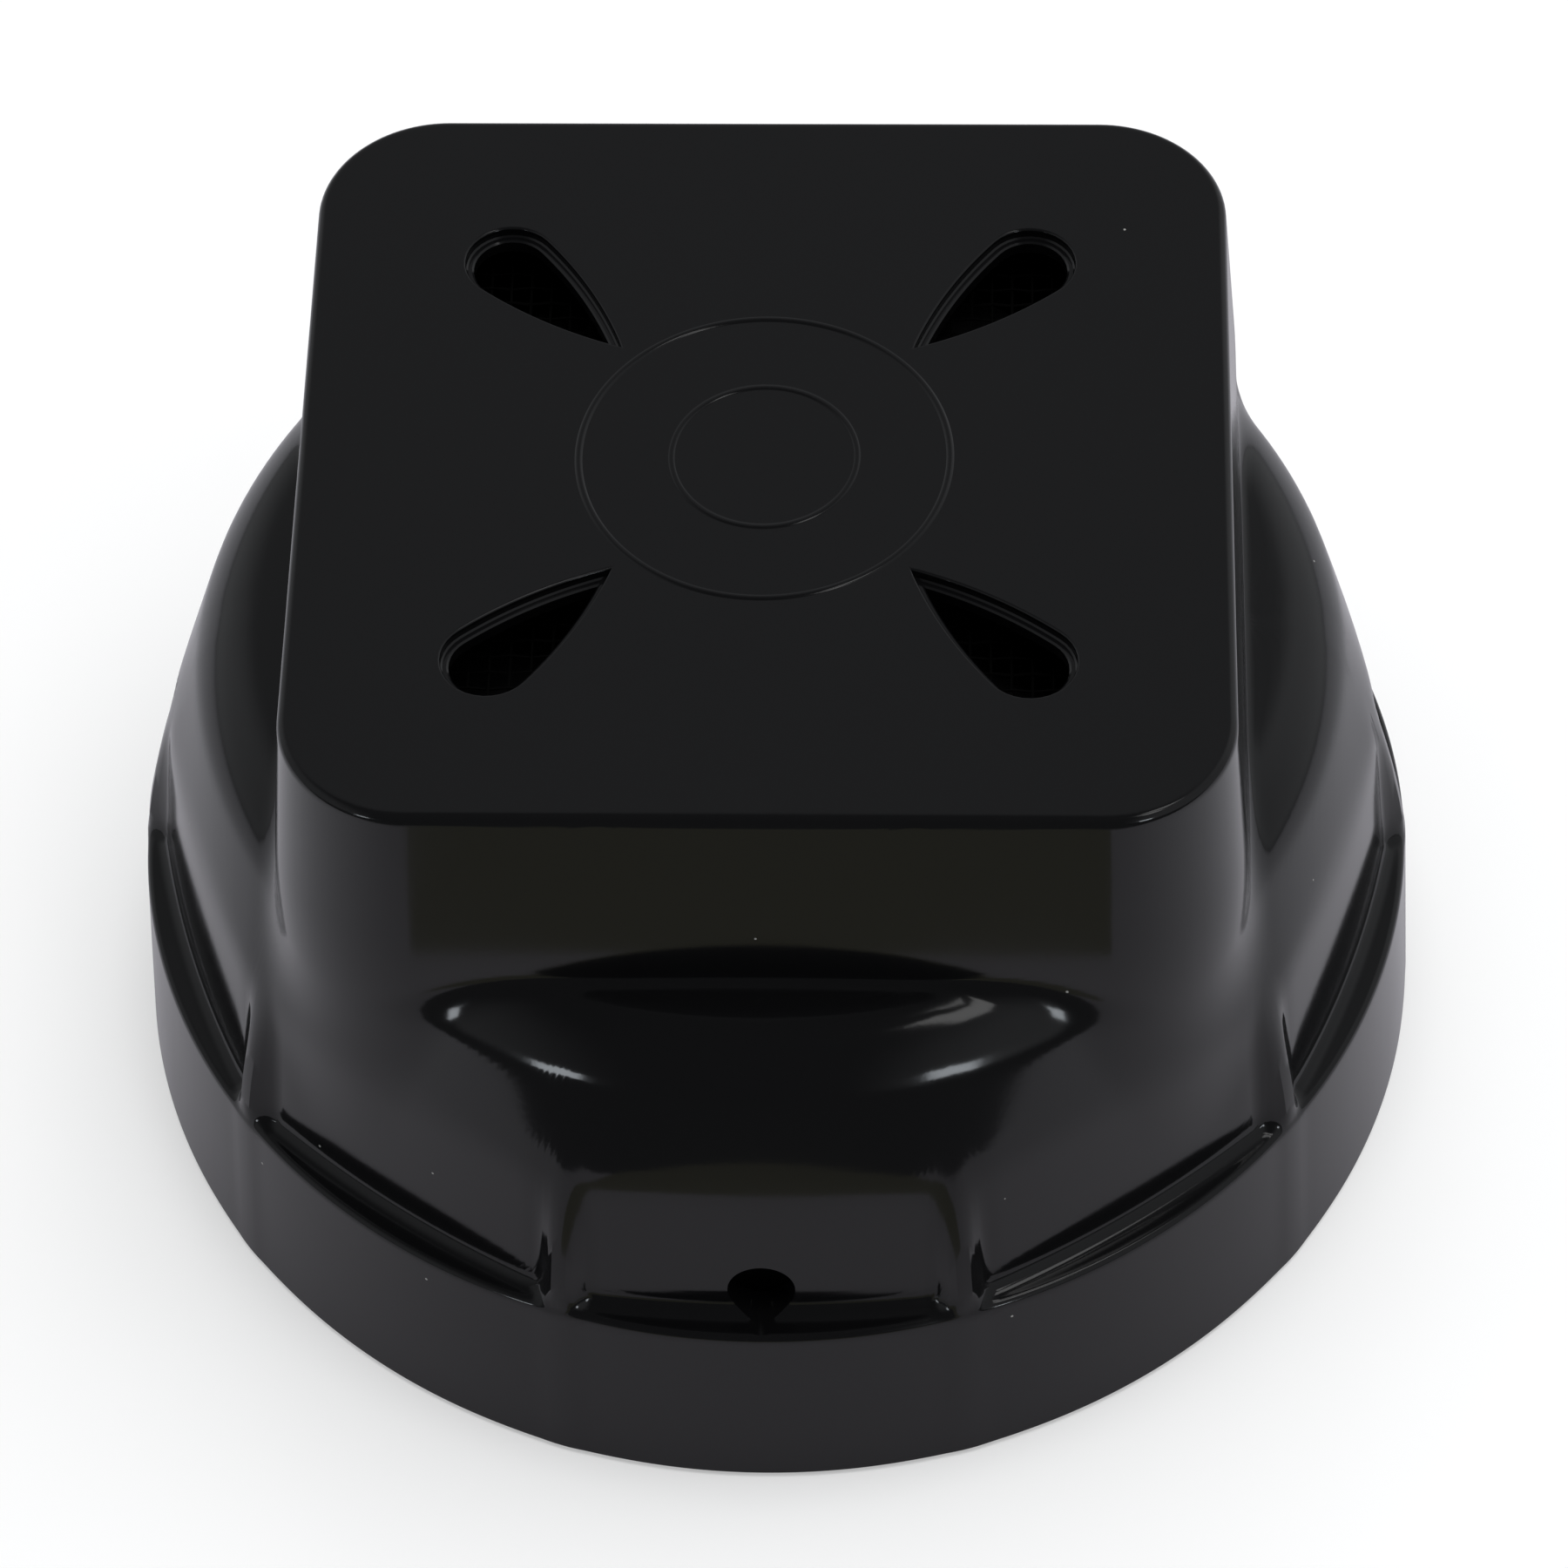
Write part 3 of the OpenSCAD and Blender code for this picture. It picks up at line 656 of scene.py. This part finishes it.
def twist(angle, r, z):
    """Eight strands, twisted, on the cord; loose tufts round the pad."""
    if r < 0.05:
        return r
    if z < 34.4:
        return r * (0.9 + 0.1 * abs(math.sin(4 * angle + z * 0.9)))
    return r - 0.14 * (0.5 + 0.5 * math.sin(31 * angle + 3 * z)) * (r > 5)


cord_steps = [(2.95, z, 0) for z in np.arange(12.4, 34.3, 0.45)]
cord = turned("wick_cord", [(0, 12.2, 0), (2.2, 12.2, 0)] + cord_steps + [
    (2.95, 34.5, 0), (6.0, 34.5, 0.3), (6.5, 35.2, 0.4), (6.5, 36.3, 0.5), (5.6, 37.0, 0.6), (3.0, 36.9, 0.5),
    (1.2, 37.05, 0.3), (0, 36.85, 0)], 128, twist)
shade(cord, cotton, "reservoir", 60, replaced=("wick",))

# ---- Feeder cap --------------------------------------------------------------------------------
# A red screw cap with a knurled skirt. The wick passes through it, and insects feed through eight holes.
cap_plastic = Finish("cap_plastic", IOR=1.5)
rubbed = cap_plastic.noise(5, 4).ramp(0.4, 0.75)
cap_plastic.feed("Base Color", cap_plastic.mix(rubbed, tint(0.46, 0.045, 0.025), tint(0.52, 0.075, 0.045)))
cap_plastic.feed("Roughness", rubbed * 0.14 + 0.24)
cap_plastic.bump(cap_plastic.noise(0.5, 2), 0.008)
knurls = 48
cap = turned("feeder_lid", [
    (14.45, 27.6, 0.15), (16.4, 27.6, 0.2), (16.4, 33.3, 0.2), (15.5, 34.2, 0.5), (12.2, 34.2, 0.2),
    (11.8, 33.95, 0.15), (5.0, 33.95, 0.15), (4.6, 34.2, 0.2), (3.4, 34.2, 0.25), (3.4, 33.0, 0.15),
    (14.45, 33.0, 0.2)], 384,
    lambda angle, r, z: r - 0.28 * (0.5 + 0.5 * math.cos(knurls * angle)) * (r > 16.1) * (28.2 < z < 33.2))
hole = turned("feeding_hole", [(0, 31, 0), (0.9, 31, 0), (0.9, 33.75, 0),
                              (1.15, 34.0, 0), (1.15, 36, 0), (0, 36, 0)], 24)
turned_copies(shifted(hole, 9.6, 0), 8)
combine(cap, hole, "DIFFERENCE")
shade(cap, cap_plastic, "cap", replaced=("feeder_cap",))

# ---- Vent screen -------------------------------------------------------------------------------
# Woven insect mesh under the vent slots, in a pressed border, clamped by the frame below it.
screen_z, wire_r, wire_pitch, screen_half = 58.0, 0.11, 1.6, 26.6
# The wire is near-black and almost without gloss: painted shade, so the hollow under the vent slots reads dark.
screen_wire = Finish("screen_wire", IOR=1.45, Specular_IOR_Level=0.04)
screen_wire.feed("Base Color", screen_wire.mix(
    screen_wire.noise(4, 3), tint(0.001, 0.001, 0.001), tint(0.002, 0.002, 0.002)))
screen_wire.feed("Roughness", screen_wire.noise(1.5, 2) * 0.15 + 0.8)
sides = 5
bends = int(2 * screen_half / wire_pitch) * 4
wire_points, wire_faces = [], []
for i in range(bends + 1):
    x = (i / bends * 2 - 1) * screen_half
    lift = 0.09 * math.cos(math.pi * x / wire_pitch)
    for k in range(sides):
        a = 2 * math.pi * k / sides
        wire_points.append(Vector((x, wire_r * math.cos(a), lift + wire_r * math.sin(a))) * MM)
for i in range(bends):
    for k in range(sides):
        a, b = i * sides + k, i * sides + (k + 1) % sides
        wire_faces.append((a, b, b + sides, a + sides))
wire_faces += [tuple(range(sides))[::-1], tuple(bends * sides + k for k in range(sides))]
mesh_cloth = new_piece("vent_mesh", wire_points, wire_faces)
tidy_mesh(mesh_cloth)

weave_tree = bpy.data.node_groups.new("woven_screen", "GeometryNodeTree")
weave_inputs = {name: weave_tree.interface.new_socket(name, in_out="INPUT", socket_type=kind).identifier
                for name, kind in (("Wire", "NodeSocketGeometry"), ("Wires", "NodeSocketInt"),
                                   ("Pitch", "NodeSocketFloat"), ("Finish", "NodeSocketMaterial"))}
weave_tree.interface.new_socket("Geometry", in_out="OUTPUT", socket_type="NodeSocketGeometry")
given = add(weave_tree, "NodeGroupInput")
start = (given["Wires"] - 1) * given["Pitch"] * -0.5
first = add(weave_tree, "ShaderNodeCombineXYZ", (), {"Y": start})["Vector"]
step = add(weave_tree, "ShaderNodeCombineXYZ", (), {"Y": given["Pitch"]})["Vector"]
places = add(weave_tree, "GeometryNodeMeshLine", (), {"Count": given["Wires"], "Start Location": first,
                                                     "Offset": step})
over_under = add(weave_tree, "GeometryNodeInputIndex")["Index"].math("MODULO", 2.0) * math.pi
flip = add(weave_tree, "ShaderNodeCombineXYZ", (), {"X": over_under})["Vector"]
warp = add(weave_tree, "GeometryNodeInstanceOnPoints", (), {"Points": places["Mesh"], "Instance": given["Wire"],
                                                           "Rotation": flip})["Instances"]
weft = add(weave_tree, "GeometryNodeTransform", (), {"Geometry": warp, "Rotation": (math.pi, 0, math.pi / 2)})
both = add(weave_tree, "GeometryNodeJoinGeometry")
weave_tree.links.new(warp.socket, both.node.inputs[0])
weave_tree.links.new(weft["Geometry"].socket, both.node.inputs[0])
whole = add(weave_tree, "GeometryNodeRealizeInstances", (), {"Geometry": both["Geometry"]})
dressed = add(weave_tree, "GeometryNodeSetMaterial", (), {"Geometry": whole["Geometry"],
                                                         "Material": given["Finish"]})
add(weave_tree, "NodeGroupOutput", (), {0: dressed["Geometry"]})
weave = mesh_cloth.modifiers.new("weave", "NODES")
weave.node_group = weave_tree
weave[weave_inputs["Wires"]] = 33
weave[weave_inputs["Pitch"]] = wire_pitch * MM
weave[weave_inputs["Finish"]] = screen_wire.material
bake(mesh_cloth)
shifted(mesh_cloth, 0, 0, screen_z)
shade(mesh_cloth, screen_wire, "cover", 50, replaced=("vent_screen",))

# ---- Screen frame, spacers and rain baffle -----------------------------------------------------
# Under the roof hang a moulded frame, four sleeves and a plate that keeps rain off the bait.
# Four self-tapping screws go up through all of them into the cover's bosses.
inner_black = Finish("inner_black", IOR=1.46)
smear = inner_black.noise(8, 4, 0.6).ramp(0.4, 0.75)
inner_black.feed("Base Color", inner_black.mix(smear, tint(0.010, 0.010, 0.011), tint(0.022, 0.022, 0.023)))
inner_black.feed("Roughness", smear * 0.15 + 0.34)
inner_black.bump(inner_black.noise(0.4, 3), 0.012)
eased("screen_frame", "frame_moulding", 0.2, inner_black, "cover")
eased("rain_baffle", "baffle_plate", 0.25, inner_black, "cover")
sleeve = turned("baffle_sleeves", [(1.8, 51.0, 0.1), (3.0, 51.0, 0.2),
                                  (3.0, 56.2, 0.2), (1.8, 56.2, 0.1)], 40)
turned_copies(shifted(sleeve, 28.6, 28.6), 4, inner_black)
shade(sleeve, inner_black, "cover", replaced=("baffle_spacers",))
screw = cross_screw("baffle_fixings", 1.45, 2.8, 1.8, 11.0)
screw.data.transform(Matrix.Rotation(math.pi, 4, "X"))
turned_copies(shifted(screw, 28.6, 28.6, 49.4, 0.4), 4, steel)
shade(screw, steel, "cover", replaced=("baffle_screws",))

# ---- Service card ------------------------------------------------------------------------------
# A blank ruled card for the keeper's notes, held under the baffle by two spring clips.
card_paper = Finish("card_paper", Roughness=0.8, Specular_IOR_Level=0.25)
down = card_paper.part(card_paper.place, 1)
ruled = (down * (1 / (3.0 * MM)) + 20.5).math("FRACT") < 0.07
pulp = card_paper.noise(0.8, 5, 0.7)
card_paper.feed("Base Color", card_paper.mix(
    ruled * 0.55 + pulp.ramp(0.4, 0.8) * 0.15, tint(0.78, 0.74, 0.62), tint(0.34, 0.38, 0.42)))
card_paper.bump(pulp, 0.02)
eased("service_card", "record_card", 0.08, card_paper, "cover")
eased("card_clips", "card_springs", 0.12, steel, "cover")

# ---- Cover -------------------------------------------------------------------------------------
# One injection-moulded shell in high-gloss black plastic, 2 mm thick: skirt, ten hollowed grip panels,
# rounded shoulder and a square tower with drafted walls. It drops over the base and turns to lock.
shell = 2.0
top_z = 63.2
skirt_foot = station_lo.z / MM
skirt_draft = math.radians(2.8)
knee_r, knee_z, knee_lean = 50.27, 28.0, math.radians(18.8)
crown_r, crown_z, crown_lean, shoulder_round = 38.0, 45.2, math.radians(7.9), 3.9
panel_edge_r, panel_edge_z, panel_count = 47.8, 32.8, 10
panel_draft, facet_lean, corner_ease = math.radians(4.8), math.radians(13.4), 2.5
rim_z, rim_round, gutter_fillet = 18.0, 0.55, 1.5
rib_crest, rib_root = 0.35, 2.3
tower_half, tower_corner, tower_draft, tower_round = 36.15, 10.0, math.radians(4.6), 0.7
tuck_z, tuck = 50.0, 0.0045
eye_r, eye_z = 13.0, 2.6                     # the outline is cast outwards from this ring


def smooth_join(a, b, k):
    """Union of two fields, filleted over a width k."""
    h = np.maximum(k - np.abs(a - b), 0) / k
    return np.minimum(a, b) - h * h * k / 4


def smooth_cut(a, b, k):
    return -smooth_join(-a, -b, k)


def round_corner(a, b, radius):
    """Both fields at once, with the edge between them rounded."""
    u, v = a + radius, b + radius
    return np.hypot(np.maximum(u, 0), np.maximum(v, 0)) + np.minimum(np.maximum(u, v), 0) - radius


def shell_field(r, z, bearing):
    """How far a point lies outside the cover's outer face, in millimetres. bearing 0 is +X."""
    skirt = (r - skirt_radius + z * math.tan(skirt_draft)) * math.cos(skirt_draft)
    upper = (r - knee_r) * math.cos(knee_lean) + (z - knee_z) * math.sin(knee_lean)
    crown = (r - crown_r) * math.sin(crown_lean) + (z - crown_z) * math.cos(crown_lean)
    round_wall = smooth_cut(skirt, upper, 2.0)

    # Panels between a decagon and a circle in plan, and above them a wall that leans in and turns round
    pitch = 2 * math.pi / panel_count
    from_rib = (bearing - math.radians(90) + pitch) % pitch - pitch / 2
    flat = smooth_cut(r * np.cos(from_rib - pitch / 2), r * np.cos(from_rib + pitch / 2), corner_ease)
    out = flat + (r - flat) * (0.5 + 0.5 * np.clip((z - panel_edge_z) / 9, 0, 1))
    panel = (out - panel_edge_r) * math.cos(panel_draft) + (z - panel_edge_z) * math.sin(panel_draft)
    leaning = (out - panel_edge_r) * math.cos(facet_lean) + (z - panel_edge_z) * math.sin(facet_lean)
    pressed = smooth_cut(smooth_cut(leaning, round_wall, 0.8), panel, 0.4)
    foot = round_corner(skirt, z - rim_z, rim_round)
    hollowed = smooth_join(round_corner(pressed, crown, shoulder_round), foot, gutter_fillet)
    ribbed = smooth_join(round_corner(smooth_cut(leaning, round_wall, 0.8), crown, shoulder_round), foot, 0.4)
    side = np.clip((rib_root - np.abs(from_rib) * r) / (rib_root - rib_crest), 0, 1)
    body = hollowed + (ribbed - hollowed) * side * side * (3 - 2 * side)

    x, y = np.abs(r * np.cos(bearing)), np.abs(r * np.sin(bearing))
    core = tower_half - tower_corner
    flare = np.tan(tower_draft) * (top_z - z)
    qx, qy = x - core, y - core
    side_gap = np.hypot(np.maximum(qx, 0), np.maximum(qy, 0)) + np.minimum(np.maximum(qx, qy), 0)
    tower = (side_gap - tower_corner - flare) * math.cos(tower_draft) + tuck * np.maximum(tuck_z - z, 0) ** 2
    tower = round_corner(tower, z - top_z, tower_round)
    diagonal = np.clip(np.abs(np.sin(2 * bearing)) * 2.2 - 1.2, 0, 1)
    return smooth_join(body, tower, 0.8 + 1.8 * diagonal * diagonal)


def cast(bearing, angle, level):
    """Where the field reaches level along rays from the eye ring, by halving."""
    near, far = np.zeros(angle.shape), np.full(angle.shape, 95.0)
    for _ in range(27):
        middle = (near + far) / 2
        inside = shell_field(eye_r + middle * np.cos(angle), eye_z + middle * np.sin(angle), bearing) < level
        near, far = np.where(inside, middle, near), np.where(inside, far, middle)
    return eye_r + near * np.cos(angle), eye_z + near * np.sin(angle)


def smoothed(values, axis, passes):
    for _ in range(passes):
        if axis == 0:
            values = (np.roll(values, 1, 0) + 2 * values + np.roll(values, -1, 0)) / 4
        else:
            padded = np.pad(values, ((0, 0), (1, 1)), "edge")
            values = (padded[:, :-2] + 2 * padded[:, 1:-1] + padded[:, 2:]) / 4
    return values


columns = 540


def shell_rows(level, rows, roof_z, roof_margin):
    """Rows of points up the shell: closer together where it turns."""
    bearing = (np.arange(columns) * 2 * math.pi / columns)[:, None]
    reach = cast_reach(bearing, roof_z, level) - roof_margin
    foot_r = skirt_radius - skirt_foot * math.tan(skirt_draft) + level / math.cos(skirt_draft)
    first = math.atan2(skirt_foot - eye_z, foot_r - eye_r)
    last = np.arctan2(roof_z - eye_z, reach - eye_r)
    fine = np.linspace(0, 1, 801)[None, :]
    angle = first + (last - first) * fine
    r, z = cast(bearing, angle, level)
    step = np.hypot(np.diff(r), np.diff(z))
    heading = np.unwrap(np.arctan2(np.diff(z), np.diff(r)), axis=1)
    turn = np.abs(np.diff(heading, axis=1, prepend=heading[:, :1]))
    weight = step / 1.2 + smoothed(turn, 1, 6) / 0.16
    weight = smoothed(smoothed(weight, 1, 12), 0, 6)
    total = np.concatenate([np.zeros((columns, 1)), np.cumsum(weight, 1)], 1)
    total /= total[:, -1:]
    wanted = np.linspace(0, 1, rows)
    picked = np.array([np.interp(wanted, total[i], angle[i]) for i in range(columns)])
    r, z = cast(bearing, picked, level)
    return bearing, r, z


def cast_reach(bearing, z, level):
    """How far out the tower's wall stands at a height."""
    near, far = np.zeros(bearing.shape), np.full(bearing.shape, 60.0)
    for _ in range(27):
        middle = (near + far) / 2
        inside = shell_field(middle, np.full(bearing.shape, z - 1.5), bearing) < level
        near, far = np.where(inside, middle, near), np.where(inside, far, middle)
    return near


ring_bead_r, ring_bead_half, ring_bead_h = 14.4, 0.3, 0.13


def grid_faces(first, count, rows, wrap_out):
    faces = []
    for i in range(count):
        j = (i + 1) % count
        for k in range(rows - 1):
            a, b = first + i * rows + k, first + j * rows + k
            faces.append((a, b, b + 1, a + 1) if wrap_out else (a, a + 1, b + 1, b))
    return faces


def full_rows(level, rows, roof_z, margin, roof):
    """The shell's rows, carried on over the roof to its middle. roof is a list of (radius, rise)."""
    bearing, r, z = shell_rows(level, rows, roof_z, margin)
    z[:, -1] = roof_z
    more_r = np.repeat(np.array([p[0] for p in roof])[None, :], columns, 0)
    more_z = np.repeat(roof_z + np.array([p[1] for p in roof])[None, :], columns, 0)
    edge = r[:, -1:]
    between = np.concatenate([edge + (more_r[:, :1] - edge) * t for t in (0.33, 0.67)], 1)
    r = np.concatenate([r, between, more_r], 1)
    z = np.concatenate([z, np.full(between.shape, roof_z), more_z], 1)
    return np.stack([r * np.cos(bearing), r * np.sin(bearing), z], 2)


def bead(radius, half, height):
    """A low ring bead, with a flat row on both sides that keeps the roof's shading flat."""
    rise = [(radius + half * math.cos(t), height * math.sin(t) ** 2) for t in np.linspace(0, math.pi, 9)]
    return [(radius + half + 0.3, 0), (radius + half + 0.1, 0)] + rise + [
        (radius - half - 0.1, 0), (radius - half - 0.3, 0)]


outer = full_rows(0.0, 92, top_z, tower_round + 0.4,
                  bead(ring_bead_r, ring_bead_half, ring_bead_h) + bead(7.2, 0.25, 0.08) + [(2.4, 0), (0.8, 0)])
inner = full_rows(-shell, 44, top_z - shell, tower_round + 0.4, [(20, 0), (8, 0), (1.5, 0)])
rows_out, rows_in = outer.shape[1], inner.shape[1]
points = np.concatenate([outer.reshape(-1, 3), inner.reshape(-1, 3)]) * MM
first_in = columns * rows_out
faces = grid_faces(0, columns, rows_out, True) + grid_faces(first_in, columns, rows_in, False)
for i in range(columns):
    j = (i + 1) % columns
    faces.append((i * rows_out, first_in + i * rows_in, first_in + j * rows_in, j * rows_out))
faces.append([i * rows_out + rows_out - 1 for i in range(columns)])
faces.append([first_in + i * rows_in + rows_in - 1 for i in reversed(range(columns))])


cover = new_piece("cover_shell", points, faces)


def sector(r0, r1, z0, z1, middle, half, steps=6):
    """A curved block between two radii, as vertices and faces."""
    vertices = [Vector((r * math.cos(a), r * math.sin(a), z)) * MM
                for a in np.linspace(middle - half, middle + half, steps + 1) for r, z in
                ((r0, z0), (r1, z0), (r1, z1), (r0, z1))]
    polygons = [(4 * i + k, 4 * i + (k + 1) % 4, 4 * i + 4 + (k + 1) % 4, 4 * i + 4 + k)
                for i in range(steps) for k in range(4)]
    return vertices, polygons + [(3, 2, 1, 0), tuple(4 * steps + k for k in range(4))]


# Inside the shell: bayonet lugs, keys that turn the tray, the land for the seal and four screw bosses
lug_in_r, lug_root_r, lug_half = 48.1, 51.1, math.radians(4)
key_r, key_out_r, key_root_r, key_w = 41.5, 44.8, 47.3, 5.0
land_r, land_z, land_h = 45.2, 14.0, 3.0
boss_at, boss_r, boss_bore_r, boss_z = 28.6, 3.2, 1.5, 58.2
lugs = [sector(lug_in_r, lug_root_r, 4.0, 7.0, math.radians(45 + 90 * i), lug_half) for i in range(4)]
keys = [block(key_r, key_out_r, -key_w / 2, key_w / 2, 9, 30),
        block(-key_out_r, -key_r, -key_w / 2, key_w / 2, 9, 30)]
combine(cover, joined("lugs_and_keys", lugs + keys), "UNION")
key_in_r, root_w = key_r + 1.5, key_w - 0.2
roots = [block(key_in_r, key_root_r, -root_w / 2, root_w / 2, 15, 29.9),
         block(-key_root_r, -key_in_r, -root_w / 2, root_w / 2, 15, 29.9)]
combine(cover, joined("key_roots", roots), "UNION")
land = turned("seal_land", [(land_r, land_z, 0.2), (land_r + 3.4, land_z, 0.1),
                            (land_r + 3.4, land_z + 2.8, 0.1),
                            (land_r + 2.4, land_z + land_h, 0.1), (land_r, land_z + 1.8, 0.3)], 160)
combine(cover, land, "UNION")
boss_top = top_z - shell + 0.5
boss = turned("screw_boss", [(boss_bore_r, boss_z, 0.15), (boss_r, boss_z, 0.2), (boss_r, boss_top, 0.1),
                             (boss_bore_r, boss_top, 0.1)], 40)
turned_copies(shifted(boss, boss_at, boss_at), 4)
combine(cover, boss, "UNION")

# The slots' walls: a rounded lip, a shallow step inside it, and the through opening
slot_tip_r, slot_run, slot_end_r, slot_side_r = 11.5 * math.sqrt(2), 12.8, 3.6, 36.0


def slot_outline(inset):
    """Half-lens with a round outer end, drawn in by inset, as (along, across) points."""
    px = (slot_run ** 2 + slot_side_r ** 2 - (slot_side_r - slot_end_r) ** 2) / (2 * slot_run)
    py = math.sqrt(slot_side_r ** 2 - px ** 2)
    side_r, end_r = slot_side_r - inset, slot_end_r - inset
    tip = px - math.sqrt(side_r ** 2 - py ** 2)
    start = math.atan2(py, tip - px)
    stop = math.atan2(py, slot_run - px)
    side = [(px + side_r * math.cos(a), side_r * math.sin(a) - py) for a in np.linspace(start, stop, 16)]
    end = [(slot_run + end_r * math.cos(a), end_r * math.sin(a)) for a in np.linspace(stop, 0, 10)[1:]]
    half = side + end
    return half + [(x, -y) for x, y in reversed(half[1:-1])]


def loft(levels, turn):
    """A closed solid through slot outlines at given heights, turned about Z."""
    rings = [[(slot_tip_r + x, y, z) for x, y in slot_outline(inset)] for z, inset in levels]
    count = len(rings[0])
    vertices = [Matrix.Rotation(turn, 3, "Z") @ Vector(p) * MM for ring in rings for p in ring]
    polygons = [[k * count + i, k * count + (i + 1) % count,
                 (k + 1) * count + (i + 1) % count, (k + 1) * count + i]
                for k in range(len(rings) - 1) for i in range(count)]
    polygons.append(list(range(count))[::-1])
    polygons.append([(len(rings) - 1) * count + i for i in range(count)])
    return vertices, polygons


lip = 0.2
step_in, step_z = 0.6, 62.3
lip_levels = [(top_z + 0.5, -lip)] + [(top_z - lip * (1 - math.cos(t)), -lip * (1 - math.sin(t)))
                                      for t in np.linspace(0.05, math.pi / 2, 6)]
slot_levels = lip_levels + [(step_z + 0.12, 0.0), (step_z, 0.14), (step_z, step_in - 0.15),
                            (step_z - 0.12, step_in), (top_z - shell - 0.6, step_in)]


def tube_mesh(radius, low, high, sides, place):
    vertices, polygons = [], []
    for z in (low, high):
        for i in range(sides):
            t = 2 * math.pi * i / sides
            vertices.append(place @ Vector((radius * math.cos(t), radius * math.sin(t), z)) * MM)
    polygons = [(i, (i + 1) % sides, sides + (i + 1) % sides, sides + i) for i in range(sides)]
    polygons += [tuple(range(sides))[::-1], tuple(range(sides, 2 * sides))]
    return vertices, polygons


entry_z, entry_r = 20.6, 2.65
slots = [loft(slot_levels, math.radians(45 + 90 * i)) for i in range(4)]
entries = []
for side in (1, -1):
    turn = Matrix.Rotation(math.radians(90 * side), 4, "X")
    entries.append(tube_mesh(entry_r, 43.0, 51.8, 40, Matrix.Translation((0, 0, entry_z)) @ turn))
combine(cover, joined("openings", slots + entries), "DIFFERENCE")


gloss_black = Finish("gloss_black", IOR=1.4)
dust = gloss_black.cells(5.0)
speck = (dust["Distance"] < 0.022) * (gloss_black.part(dust["Color"], 0) > 0.55)
handled = gloss_black.noise(18, 3).ramp(0.35, 0.7)
gloss_black.feed("Base Color", gloss_black.mix(speck, tint(0.003, 0.003, 0.0033), tint(0.25, 0.25, 0.24)))
gloss_black.feed("Roughness", handled * 0.04 + 0.09 + speck * 0.4)
gloss_black.bump(gloss_black.noise(0.5, 2), 0.002)
shade(cover, gloss_black, "cover", replaced=("cover",))
